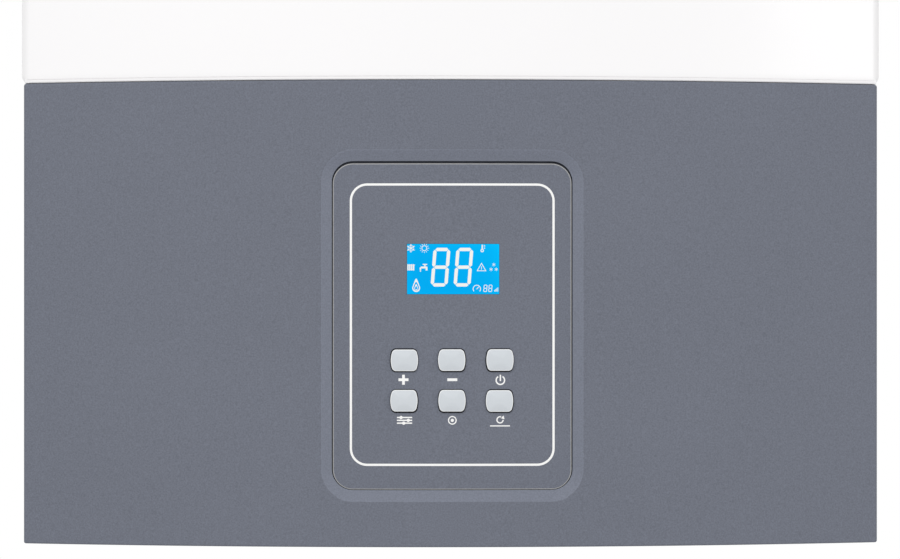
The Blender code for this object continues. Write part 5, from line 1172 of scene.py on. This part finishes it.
def board_finish():
    """Green lacquer over copper: the tracks show through as lighter lines on a square grid."""
    finish = Finish("board_green")
    upright = finish.node("ShaderNodeMapping", {}, {"Vector": finish.place, "Rotation": (FACING, 0, 0)})
    tracks = finish.node("ShaderNodeTexBrick", {"offset": 0.35, "squash": 0.6}, {
        "Vector": upright, "Scale": 60.0, "Mortar Size": 0.035, "Mortar Smooth": 0.2, "Brick Width": 0.5,
        "Row Height": 0.22,
    }, "Fac")
    mottle = finish.noise(300, 3)
    green = finish.shades(mottle, (0.015, 0.13, 0.055), 0.15)
    finish.set(Base_Color=finish.blend(tracks, green, (0.05, 0.27, 0.10, 1)), Roughness=mottle * 0.15 + 0.22)
    finish.set(Normal=finish.bump(tracks, 0.05 * MM, 0.6))
    return finish.material


def glass_finish():
    finish = Finish("sight_glass")
    smoke = finish.noise(90, 3)
    finish.set(Base_Color=finish.shades(smoke, (0.05, 0.045, 0.04), 0.5), Roughness=smoke * 0.2 + 0.02)
    finish.set(Coat_Weight=smoke * 0.3 + 0.6)
    return finish.material


print("other finishes ready")

# %% A finish for each slot
FINISHES = {
    "white_enamel": WHITE_ENAMEL,
    "grey_fascia": FASCIA_GREY,
    "button_grey": BUTTON_GREY,
    "display_blue": DISPLAY_GLOW,
    "galvanised": spangled_finish(),
    "aluminised": metal_finish("aluminised_sheet", (0.63, 0.63, 0.62), (30, 400, 12), 0.05, 0.42),
    "aluminium": metal_finish(
        "cast_aluminium", (0.66, 0.665, 0.67), (700, 700, 700), 0.08, 0.45, pits=0.08 * MM
    ),
    "copper": metal_finish(
        "drawn_copper", (0.80, 0.40, 0.26), (500, 500, 180), 0.05, 0.3, tarnish=(0.60, 0.27, 0.17)
    ),
    "brass": metal_finish(
        "cast_brass", (0.76, 0.57, 0.27), (450, 450, 450), 0.08, 0.33, tarnish=(0.52, 0.36, 0.15)
    ),
    "steel": metal_finish("brushed_steel", (0.55, 0.56, 0.57), (240, 900, 900), 0.05, 0.34, pits=0.006 * MM),
    "black_plastic": moulded_finish("black_moulding", (0.022, 0.022, 0.025), 0.35, 0.5, scale=1100),
    "grey_plastic": moulded_finish("grey_moulding", (0.27, 0.28, 0.29), 0.12, 0.5, scale=1100),
    "board_green": board_finish(),
    "vessel_red": enamel_finish("vessel_red", (0.45, 0.030, 0.020), 0.36),
    "knob_red": moulded_finish("red_moulding", (0.58, 0.028, 0.020), 0.08, 0.4, scale=1300),
    "knob_blue": moulded_finish("blue_moulding", (0.02, 0.10, 0.42), 0.08, 0.4, scale=1300),
    "silicone": moulded_finish("silicone_seal", (0.36, 0.10, 0.06), 0.1, 0.55, scale=600),
    "fibre": fibre_finish(),
    "ceramic": enamel_finish("glazed_ceramic", (0.80, 0.78, 0.72), 0.25),
    "glass": glass_finish(),
}
BODY_OF = {node: body for body, nodes in frame["record"]["behaviour"]["bodies"].items() for node in nodes}
done = {"front_cover", "control_fascia", "control_panel", "display_lens"}
done.update("button_" + sign for sign in BUTTON_SEATS)


def slot_of(node):
    return bpy.data.objects[node].data.materials[0].name.split(".")[0]


def dress(piece, slot, body, *replaced):
    """Gives a piece the finish of a slot, and the body that it rides on."""
    done.update(replaced)
    return hand_over(piece, FINISHES[slot], body, slot, *replaced)


def finished(piece, node, *replaced):
    """Dresses a piece as the node that it belongs to."""
    return dress(piece, slot_of(node), BODY_OF[node], *replaced)


print("finishes:", len(FINISHES))

# %% [markdown]
# ## Pieces that only need their edges broken
#
# No cast, moulded or folded piece has a mathematically sharp edge, and the fine highlight along a broken
# edge is most of what makes metal look like metal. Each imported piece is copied, its triangles are joined
# back into flat faces, and a narrow bevel goes round every corner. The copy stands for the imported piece.

# %% Broken edges
EDGE_BREAK = 0.4 * MM


def break_edges(node):
    piece = twin(bpy.data.objects[node], node + "_finished")
    with editing(piece, "VERT"):
        merge_doubles(0.002 * MM)
    with editing(piece):
        bpy.ops.mesh.dissolve_limited(angle_limit=math.radians(0.6))
    apply(piece, "BEVEL", width=EDGE_BREAK, segments=2, limit_method="ANGLE", angle_limit=math.radians(28))
    return finished(smooth(piece, 40), node, node)


print("edge break", EDGE_BREAK)

# %% [markdown]
# ## Turned pieces
#
# A lathe makes round pieces from one outline, and so does Spin. The outline is drawn as a chain of points,
# each extruded from the last, and the chain is then spun once round its axis. Doubles are merged where the
# turn meets its start, before the normals are made to point outwards.

# %% A lathe
CENTRE = 0.02 * MM


def placed(piece, place, towards=(0, 0, 1)):
    """Moves a piece that was made at the origin, along Z, to its place and direction."""
    turn = Vector(towards).to_track_quat("Z", "Y").to_matrix().to_4x4()
    piece.data.transform(Matrix.Translation(place) @ turn)
    return piece


def turned(name, outline, place=(0, 0, 0), towards=(0, 0, 1), steps=40):
    piece = added(name, bpy.ops.mesh.primitive_plane_add, size=1)
    with editing(piece, "VERT"):
        bpy.ops.mesh.merge(type="COLLAPSE")
        bpy.ops.transform.translate(value=(outline[0][0], 0, outline[0][1]))
        for last, point in zip(outline, outline[1:] + outline[:1]):
            extrude(point[0] - last[0], 0, point[1] - last[1])
        merge_doubles()
        bpy.ops.mesh.select_all(action="SELECT")
        bpy.ops.mesh.spin(steps=steps, angle=2 * math.pi, center=(0, 0, 0), axis=(0, 0, 1))
        merge_doubles()
        point_outwards()
    return smooth(placed(piece, place, towards), 30)


def near(radius, height, offsets):
    """Points of an outline, given in mm out and up from a radius and a height."""
    return [(radius + out * MM, height + up * MM) for out, up in offsets]


def solid(outline):
    """Takes an outline in to the axis at both its ends."""
    return [(CENTRE, outline[0][1]), *outline, (CENTRE, outline[-1][1])]


print("lathe ready")

# %% [markdown]
# ## Threaded unions
#
# Five stubs come down through the bottom plate for the flow, the hot water, the gas, the cold water and the
# return. Each has a pipe thread, whose crests are turned as fine ridges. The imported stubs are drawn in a
# little and carry the thread as a sleeve, so the hexagons above the plate stay as they are.

# %% Unions
UNION_DEPTH = 85 * MM
UNION_PITCH = 65 * MM
WIDE_UNION = 13.2 * MM
SLIM_UNION = 10.5 * MM
THREAD_PITCH = 1.8 * MM
THREAD_CUT = 1.1 * MM
THREAD_BORE_SHARE = 0.8
RIDGE_SHARES = (0.35, 0.47, 0.85)
DRAW_IN_SHARE = 0.14
DRAW_UP = 0.4 * MM
UNIONS = {
    -2: ("flow_manifold", WIDE_UNION), -1: ("flow_manifold", SLIM_UNION), 0: ("gas_valve", SLIM_UNION),
    1: ("return_manifold", SLIM_UNION), 2: ("return_manifold", WIDE_UNION),
}
plate_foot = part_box("bottom_plate")[0].z
union_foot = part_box("flow_manifold")[0].z
thread_length = plate_foot - union_foot


def thread_outline(radius, inner, length):
    """A sleeve with a chamfered end and ridges outside."""
    root = radius - THREAD_CUT
    outline = [(inner, 0), (root, 0)]
    for i in range(int(length / THREAD_PITCH)):
        crest, crest_end, foot = ((i + share) * THREAD_PITCH for share in RIDGE_SHARES)
        outline += [(radius, crest), (radius, crest_end), (root, foot)]
    return outline + [(root, length), (inner, length)]


def draw_in(piece, axis, radius):
    """Shrinks a stub a little under its thread."""
    for vertex in piece.data.vertices:
        away = Vector((vertex.co.x - axis.x, vertex.co.y - axis.y, 0))
        if vertex.co.z < plate_foot - MM and away.length < radius * 1.02:
            vertex.co.z += DRAW_UP
            if away.length > THREAD_BORE_SHARE * radius:
                vertex.co -= away * DRAW_IN_SHARE


stubs = {node: break_edges(node) for node in ("flow_manifold", "gas_valve", "return_manifold")}
for index, (node, radius) in UNIONS.items():
    axis = Vector((index * UNION_PITCH, -UNION_DEPTH, union_foot))
    draw_in(stubs[node], axis, radius)
    outline = thread_outline(radius, THREAD_BORE_SHARE * radius, thread_length)
    finished(turned(f"union_thread_{index + 3}", outline, axis), node)
print("threads:", len(UNIONS), "each", round(thread_length * 1000, 1), "mm")

# %% [markdown]
# ## Bent pipes
#
# A plumber bends pipe round a former. Here a circle is extruded along each straight run and spun through
# each bend, with the former's radius. Copper joins the pump and the manifold to the heat exchanger,
# aluminium brings the gas to the burner, and a thin hose goes to the expansion vessel. The corners are the
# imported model's own.

# %% Pipes
def pipe(name, radius, bend, corners, sides=28):
    place, way = corners[0], (corners[1] - corners[0]).normalized()
    tube = added(
        name, bpy.ops.mesh.primitive_circle_add, vertices=sides, radius=radius, fill_type="NOTHING",
        location=place, rotation=way.to_track_quat("Z", "Y").to_euler(),
    )
    with editing(tube, "EDGE"):
        for corner, after in zip(corners[1:], corners[2:]):
            onward = (after - corner).normalized()
            angle = way.angle(onward)
            back_off = bend * math.tan(angle / 2)
            start = corner - way * back_off
            extrude(*(start - place))
            axis = way.cross(onward).normalized()
            bpy.ops.mesh.spin(steps=10, angle=angle, center=start + axis.cross(way) * bend, axis=axis)
            place, way = corner + onward * back_off, onward
        extrude(*(corners[-1] - place))
        merge_doubles()
        bpy.ops.mesh.fill_holes(sides=0)
        point_outwards()
    return smooth(tube, 40)


def plate(name, corners, radius):
    return added(name, bpy.ops.mesh.primitive_circle_add, vertices=corners, radius=radius, fill_type="NGON")


def thicken(piece, length, rounding, segments):
    """Draws a flat plate out along Z, and rounds its rims off."""
    with editing(piece):
        extrude(0, 0, length)
        point_outwards()
    round_off(piece, lambda place, way: abs(way.z) < 0.01, rounding, segments)


def nut(name, place, towards, across, length):
    """A union nut: a hexagon with its corners rounded off at both ends."""
    piece = plate(name, 6, across / math.sqrt(3))
    thicken(piece, length, 0.08 * across, 3)
    return smooth(placed(piece, place, towards), 40)


print("pipe tools ready")

# %% Four pipes
NUT_MARGIN = 4 * MM
NUT_LENGTH = 11 * MM
NUT_LEAST = 4 * MM
PIPES = {
    "flow_pipe": (8 * MM, 14.4 * MM, [
        (-0.130, 0.085, -0.5844), (-0.130, 0.085, -0.458), (-0.168, 0.190, -0.458),
        (-0.168, 0.190, -0.2051), (-0.1523, 0.190, -0.2051),
    ]),
    "return_pipe": (8 * MM, 14.4 * MM, [
        (0.133, 0.085, -0.4717), (0.133, 0.085, -0.442), (0.168, 0.190, -0.442),
        (0.168, 0.190, -0.2051), (0.1523, 0.190, -0.2051),
    ]),
    "gas_pipe": (7 * MM, 16 * MM, [
        (0, 0.085, -0.5047), (0, 0.085, -0.442), (0, 0.222, -0.442), (0, 0.222, -0.4019),
    ]),
    "vessel_hose": (5 * MM, 16 * MM, [
        (0, 0.050, -0.3683), (0, 0.050, -0.441), (0.062, 0.085, -0.458), (0.062, 0.085, -0.5844),
    ]),
}
for node, (radius, bend, route) in PIPES.items():
    corners = [Vector((x, -depth, z)) for x, depth, z in route]
    finished(pipe(node + "_bent", radius, bend, corners), node, node)
    for end, (place, second) in enumerate((corners[:2], corners[:-3:-1])):
        way = second - place
        length = min(NUT_LENGTH, way.length - 1.1 * bend) if end or node != "vessel_hose" else NUT_LENGTH
        piece = nut(f"{node}_nut_{end + 1}", place, way, 2 * (radius + NUT_MARGIN), max(length, NUT_LEAST))
        dress(piece, "brass", "casing")
print("pipes:", ", ".join(PIPES))

# %% [markdown]
# ## Knobs
#
# The safety valve's red knob and the blue knob of the filling tap have lobes for wet fingers. A circle
# whose radius swells and shrinks in a wave is the outline. It is extruded, its rims are rounded, and its
# face is dished by an inset.

# %% Lobed knobs
KNOB_LOBE = 1.47 * MM
KNOB_ROUNDING = 1.1 * MM
TAP_RADIUS = 11.5 * MM
TAP_SHIFT = 0.5 * MM
VALVE_RADIUS = 13.5 * MM
VALVE_THICK = 14 * MM
STEM_RADIUS = 3 * MM
STEM_OVERLAP = 3 * MM
DISH = ((0.86, 0), (0.9, -0.9 * MM), (0.35, 0), (0.8, 0.5 * MM))


def lobed_knob(name, lobes, radius, thick, stem_length):
    knob = plate(name, 16 * lobes, radius)
    for vertex in knob.data.vertices:
        angle = math.atan2(vertex.co.y, vertex.co.x)
        vertex.co *= 1 - KNOB_LOBE / radius * (1 - math.cos(lobes * angle))
    thicken(knob, thick, KNOB_ROUNDING, 4)
    with editing(knob, "FACE", looks(0, 0, 1)):
        for shrink, push in DISH:
            step_to((shrink, shrink, 1), (0, 0, push))
    stem = turned("stem", solid([(STEM_RADIUS, -stem_length), (STEM_RADIUS, STEM_OVERLAP)]))
    return smooth(join_up(name, [knob, stem]), 40)


tap_low, tap_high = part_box("filling_tap_knob")
tap_thick = plate_foot - CLEARANCE - tap_low.z
tap = lobed_knob("filling_tap_knob_moulding", 5, TAP_RADIUS, tap_thick, tap_high.z - tap_low.z - tap_thick)
tap_place = ((tap_low.x + tap_high.x) / 2 - TAP_SHIFT, -UNION_DEPTH, tap_low.z + tap_thick)
finished(placed(tap, tap_place, (0, 0, -1)), "filling_tap_knob", "filling_tap_knob")
valve_low, valve_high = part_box("safety_valve_knob")
stem_length = valve_high.y - valve_low.y - VALVE_THICK
valve = lobed_knob("safety_valve_knob_moulding", 6, VALVE_RADIUS, VALVE_THICK, stem_length)
valve_place = middle_of("safety_valve_knob")
valve_place.y = valve_low.y + VALVE_THICK
finished(placed(valve, valve_place, (0, -1, 0)), "safety_valve_knob", "safety_valve_knob")
print("knobs placed")

# %% [markdown]
# ## Gland and flue
#
# The cable gland is a domed nut with a rubber lip round its bore. The flue collar is a turned flange with a
# bead and a rolled mouth, and the inner pipe stands inside it with a mouth of its own.

# %% Gland
GLAND_BORE = 4 * MM
GLAND_BODY = 9 * MM
FLUTES = 12
gland_low, gland_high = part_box("cable_gland")
gland_nut = (gland_high.x - gland_low.x) / 2
gland_outline = [(GLAND_BORE, gland_high.z), (GLAND_BODY, gland_high.z)]
gland_outline += [(GLAND_BODY, plate_foot - CLEARANCE), (gland_nut, plate_foot - CLEARANCE)]
gland_outline += near(gland_nut, gland_low.z, [(0, 4), (-0.8, 2.2), (-2.4, 1.1)])
gland_outline += near(GLAND_BODY, gland_low.z, [(-1, 0.7)])
gland_outline += near(GLAND_BORE, gland_low.z, [(1.8, 0.7), (1.3, 0), (0, 0.3)])
gland_axis = middle_of("cable_gland")
gland_axis.z = 0
finished(turned("cable_gland_body", gland_outline, gland_axis, steps=48), "cable_gland", "cable_gland")
flute_outline = solid(near(0, gland_low.z, [(0.8, 4), (0.8, 8)]))
for i in range(FLUTES):
    angle = 2 * math.pi * i / FLUTES
    place = gland_axis + gland_nut * Vector((math.cos(angle), math.sin(angle), 0))
    finished(turned(f"cable_gland_flute_{i + 1}", flute_outline, place, steps=10), "cable_gland")
print("gland across", round(2 * gland_nut, 4))

# %% Collar and inner pipe
COLLAR_RADIUS = 50 * MM
COLLAR_WALL = 1.5 * MM
collar_low, collar_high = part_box("flue_collar")
flange = (collar_high.x - collar_low.x) / 2
flange_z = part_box("top_panel")[1].z + CLEARANCE
bead_z = (flange_z + collar_high.z) / 2
inner, outer = COLLAR_RADIUS - COLLAR_WALL, COLLAR_RADIUS
collar_outline = [(inner, collar_low.z), (outer, collar_low.z), (outer, flange_z)]
collar_outline += near(flange, flange_z, [(-1, 0), (0, 1), (0, 2), (-1, 3)])
collar_outline += near(outer, flange_z, [(2, 3), (0.6, 3.6), (0, 5)])
collar_outline += near(outer, bead_z, [(0, -2), (1.4, -1.2), (2, 0), (1.4, 1.2), (0, 2)])
collar_outline += near(outer, collar_high.z, [(0, -1.5), (0.7, -0.7), (0.4, 0)])
collar_outline += near(inner, collar_high.z, [(0.6, 0), (0, -0.8)])
flue_axis = middle_of("flue_collar")
flue_axis.z = 0
finished(turned("flue_collar_turned", collar_outline, flue_axis, steps=96), "flue_collar", "flue_collar")

pipe_low, pipe_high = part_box("flue_inner_pipe")
outer = (pipe_high.x - pipe_low.x) / 2
inner = outer - COLLAR_WALL
pipe_outline = [(inner, pipe_low.z), (outer, pipe_low.z)]
pipe_outline += near(outer, pipe_high.z, [(0, -9), (0.9, -8), (0.9, -5), (0, -4), (0, -0.6), (-0.5, 0)])
pipe_outline += near(inner, pipe_high.z, [(0.3, 0), (0, -0.5)])
flue_pipe = turned("flue_inner_pipe_turned", pipe_outline, flue_axis, steps=72)
finished(flue_pipe, "flue_inner_pipe", "flue_inner_pipe")
print("collar bead at", round(bead_z, 4))

# %% [markdown]
# ## Screws
#
# Pan-head screws hold the chamber's front plate, the control box's lid and the flue collar. One head is
# turned, its cross recess is cut with two crossed blocks, and copies of it are joined into one piece for
# each group.

# %% Screw heads
HEAD_RADIUS = 3.6 * MM
HEAD_HEIGHT = 2.1 * MM
CROSS_HALF = 0.55 * MM
SCREW_INSET = 7 * MM
PAN_SHARES = ((1, -1 / 7), (1, 0.4), (0.93, 0.72), (0.75, 0.92), (0.45, 1))
FIRST_TURN = 25
NEXT_TURN = 37


def pan_head():
    outline = [(out_share * HEAD_RADIUS, up_share * HEAD_HEIGHT) for out_share, up_share in PAN_SHARES]
    head = turned("pan_head", solid(outline), steps=28)
    reach = 0.55 * HEAD_RADIUS
    low, high = 0.35 * HEAD_HEIGHT, 2 * HEAD_HEIGHT
    cross = block("cross", (-reach, -CROSS_HALF, low), (reach, CROSS_HALF, high))
    weld_on(cross, block("arm", (-CROSS_HALF, -reach, low), (CROSS_HALF, reach, high)))
    cut_away(head, cross)
    return head


def screws(name, places, towards, body):
    heads = []
    for i, place in enumerate(places):
        head = twin(pattern, "head")
        head.data.transform(Matrix.Rotation(math.radians(FIRST_TURN + NEXT_TURN * i), 4, "Z"))
        heads.append(placed(head, place, towards))
    return dress(smooth(join_up(name, heads), 40), "steel", body)


pattern = pan_head()
front_low, front_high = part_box("chamber_cover")
left, right = front_low.x + SCREW_INSET, front_high.x - SCREW_INSET
foot, head = front_low.z + SCREW_INSET, front_high.z - SCREW_INSET
spots = [(x, front_low.y, foot + (head - foot) * i / 4) for x in (left, right) for i in range(5)]
spots += [(x, front_low.y, z) for x in (left / 3, right / 3) for z in (foot, head)]
screws("chamber_cover_screws", spots, (0, -1, 0), "casing")
lid_low, lid_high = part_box("control_box_lid")
columns = (lid_low.x + SCREW_INSET, 0, lid_high.x - SCREW_INSET)
rows = (lid_low.z + SCREW_INSET, lid_high.z - SCREW_INSET)
spots = [(x, lid_high.y, z) for x in columns for z in rows]
screws("control_box_lid_screws", spots, (0, 1, 0), "control_box")
spots = []
for i in range(4):
    angle = math.pi / 4 + math.pi * i / 2
    out = Vector((math.cos(angle), math.sin(angle), 0)) * ((flange + COLLAR_RADIUS) / 2 + MM)
    spots.append(flue_axis + out + Vector((0, 0, flange_z + 3 * MM)))
screws("flue_collar_screws", spots, (0, 0, 1), "casing")
bpy.data.objects.remove(pattern)
print("screw groups: 3")

# %% [markdown]
# ## The plate heat exchanger
#
# It is a stack of pressed plates, brazed together, whose edges stand out a little round the block. One thin
# rounded plate is made and copied along the stack.

# %% Brazed plates
PLATES = 9
PLATE_LIP = 0.7 * MM
PLATE_PITCH = 3.4 * MM
PLATE_THICK = 1.3 * MM
PLATE_CORNER = 14 * MM
FIRST_PLATE = 3 * MM
stack_low, stack_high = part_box("plate_heat_exchanger")
plate_size = stack_high - stack_low + 2 * PLATE_LIP * Vector((1, 0, 1))
plate_size.y = PLATE_THICK
plates = []
for i in range(PLATES):
    place = middle_of("plate_heat_exchanger")
    place.y = stack_low.y + FIRST_PLATE + i * PLATE_PITCH
    plates.append(rounded_block("plate", place, plate_size, PLATE_CORNER, 10))
plates = join_up("heat_exchanger_plate_edges", plates)
apply(plates, "BEVEL", width=EDGE_BREAK, segments=2, limit_method="ANGLE")
finished(smooth(plates, 40), "plate_heat_exchanger")
print("plates:", PLATES)

# %% [markdown]
# ## Pump, gas valve and lid
#
# Three things show when the control box is swung down: the round back of the pump, the gas valve's coils
# and the black lid. The pump gets a stepped cap with a brass plug for letting air out, the coils get
# moulded sleeves with terminals, and the lid gets a raised field with slots for air.

# %% Pump cap
motor_face = middle_of("pump_impeller")
motor_face.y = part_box("pump_motor")[0].y
cap_outline = near(0, 0, [
    (35, -1.5), (35, 0.8), (34, 1.6), (25, 2), (24, 1), (15, 1), (14, 2.4), (9.5, 2.4), (8.6, 0.9),
])
finished(turned("pump_motor_cap", solid(cap_outline), motor_face, (0, -1, 0), steps=56), "pump_motor")
plug = turned("pump_vent_plug", solid(near(0, 0, [(6.4, 0), (6.4, 2.2), (5.8, 2.9)])))
cut_away(plug, block("slot", (-7 * MM, -0.7 * MM, 1.9 * MM), (7 * MM, 0.7 * MM, 4 * MM)))
placed(plug, motor_face, (0, -1, 0))
dress(smooth(plug, 30), "brass", "casing")
print("pump cap at", [round(v, 4) for v in motor_face])

# %% Coils
COIL_FACE = -106 * MM
COIL_LENGTH = 27 * MM
COIL_DROP = 30 * MM
SLEEVE = 12.5 * MM
TERMINAL = Vector((11, 14, 6)) * MM
sleeve_outline = near(SLEEVE, 0, [(-1, 0), (0, 1)]) + near(SLEEVE, COIL_LENGTH, [(0, -1.2), (-1.2, 0)])
gas_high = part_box("gas_valve")[1]
for side, hand in ((-1, "left"), (1, "right")):
    place = Vector((side * gas_high.x / 2, COIL_FACE, gas_high.z - COIL_DROP))
    coil = turned("coil", solid(sleeve_outline), place, (0, -1, 0))
    middle = place + Vector((0, -COIL_LENGTH / 2, SLEEVE + MM))
    terminal = rounded_block("terminal", middle, TERMINAL, 2 * MM, 4)
    tabs = []
    for x in (-4, 3):
        tabs.append(block("tab", middle + Vector((x, -3, 0)) * MM, middle + Vector((x + 1, 3, 8)) * MM))
    dress(smooth(join_up("gas_valve_coil_" + hand, [coil, terminal])), "black_plastic", "casing")
    dress(smooth(join_up("gas_valve_tabs_" + hand, tabs)), "brass", "casing")
print("coils at", round(gas_high.z - COIL_DROP, 4))

# %% Lid
FIELD_MARGIN = Vector((20 * MM, 0, 17 * MM))
FIELD_RISE = 2 * MM
FIELD_CORNER = 9 * MM
FIELD_EDGE = 0.5 * MM
VENT = Vector((2.4 * MM, FIELD_RISE, 30 * MM))
VENT_CORNER = 1.1 * MM
VENT_PITCH = 6 * MM
VENTS = 10
VENT_RISE_SHARE = 0.16
RIB_RISE_SHARES = (0.10, 0.22, 0.34)
field_size = lid_high - lid_low - 2 * FIELD_MARGIN
field_size.y = FIELD_RISE + 0.4 * MM
field_middle = (lid_low + lid_high) / 2
field_middle.y = lid_high.y + FIELD_RISE / 2 - 0.2 * MM
field = rounded_block("control_box_lid_field", field_middle, field_size, FIELD_CORNER)
for side in (-1, 1):
    vents = []
    for i in range(VENTS):
        x = side * (field_size.x / 4) + (i - (VENTS - 1) / 2) * VENT_PITCH
        middle = (x, lid_high.y + FIELD_RISE, field_middle.z + VENT_RISE_SHARE * field_size.z)
        vents.append(rounded_block("vent", middle, VENT, VENT_CORNER, 4))
    cut_away(field, join_up("vents", vents))
apply(field, "BEVEL", width=FIELD_EDGE, segments=2, limit_method="ANGLE")
finished(smooth(field), "control_box_lid")
rib_size = (0.84 * field_size.x, 1.6 * MM, 1.8 * MM)
ribs = []
for share in RIB_RISE_SHARES:
    middle = (0, lid_high.y + FIELD_RISE + FIELD_EDGE, field_middle.z + (share - 0.5) * field_size.z)
    ribs.append(rounded_block("rib", middle, rib_size, 0.8 * MM, 3))
finished(smooth(join_up("control_box_lid_ribs", ribs)), "control_box_lid")
print("lid field", [round(value * 1000) for value in field_size])

# %% [markdown]
# ## All the other pieces
#
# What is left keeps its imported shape, with its edges broken.

# %% The rest
for node in frame["nodes"]:
    if node not in done:
        break_edges(node)
print("nodes dressed:", len(done))

# %% [markdown]
# ## Floor, light and camera
#
# The boiler is shown on a plain white ground under soft light. The ground's white comes from what the
# camera sees of the world, while the lamps stay at a plain level, so no pale surface burns out. The camera
# looks at the control panel from straight ahead with a long lens, as one stands before a boiler to read its
# display.

# %% Stage
FLOOR_Z = -1.6
FLOOR_RADIUS = 1.6
FADE_FROM = 1.3 * FLOOR_RADIUS
FADE_TO = 1.38 * FLOOR_RADIUS
AMBIENT = 0.56
LAMP_SIZE = 1.6
LAMPS_AIM = Vector((0, -0.2, -0.4))
floor = added(
    "floor", bpy.ops.mesh.primitive_circle_add, vertices=96, radius=FLOOR_RADIUS, fill_type="NGON",
    location=(0, 0, FLOOR_Z),
)
floor_finish = Finish("pale_floor")
pale = floor_finish.shades(floor_finish.noise(3, 3), (0.88, 0.88, 0.88), 0.01)
away = floor_finish.node("ShaderNodeVectorMath", {"operation": "LENGTH"}, {0: floor_finish.place}, "Value")
fade = floor_finish.between(away, FADE_FROM, FADE_TO)
floor_finish.set(Base_Color=pale, Roughness=0.7, Alpha=1 - fade)
floor.data.materials.append(floor_finish.material)

world = bpy.data.worlds.new("studio")
bpy.context.scene.world = world
world.use_nodes = True
sky = Nodes(world.node_tree)
camera_ray = sky.node("ShaderNodeLightPath", output="Is Camera Ray")
seen = camera_ray.maths("MAXIMUM", camera_ray, camera_ray.output("Is Glossy Ray"))
seen = seen.maths("MAXIMUM", seen, camera_ray.output("Is Transmission Ray"))
background = world.node_tree.nodes["Background"].inputs
sky.plug(background["Strength"], sky.node("ShaderNodeMapRange", {}, {"Value": seen, "To Min": AMBIENT}))
sky.plug(background["Color"], (1, 1, 1, 1))


def stand(name, data, place, turn):
    """Puts a lamp or the camera in the scene."""
    thing = bpy.data.objects.new(name, data)
    bpy.context.collection.objects.link(thing)
    thing.location = place
    thing.rotation_euler = turn
    return thing


def soft_lamp(name, place, power):
    light = bpy.data.lights.new(name, "AREA")
    light.shape = "RECTANGLE"
    light.size = LAMP_SIZE
    light.size_y = LAMP_SIZE
    light.energy = power
    stand(name, light, place, (LAMPS_AIM - Vector(place)).to_track_quat("-Z", "Y").to_euler())


soft_lamp("key", (-1.2, -2.8, 1.15), 38)
soft_lamp("fill", (2.2, -2.4, 0.2), 17.6)
print("stage set")

# %% Camera
AIM = Vector((-0.0007, -EDGE_DEPTH, -0.5518))
CAMERA_AWAY = 1.36
CAMERA_TURN = 0.93
camera_data = bpy.data.cameras.new("camera")
camera_data.lens = 116.1
camera_data.sensor_width = 36
camera_data.shift_y = 0.0361
turn = math.radians(CAMERA_TURN)
place = AIM + CAMERA_AWAY * Vector((-math.sin(turn), -math.cos(turn), 0))
bpy.context.scene.camera = stand("camera", camera_data, place, (FACING, 0, -turn))
bpy.context.scene.view_settings.view_transform = "Standard"
print("camera at", [round(v, 3) for v in place])
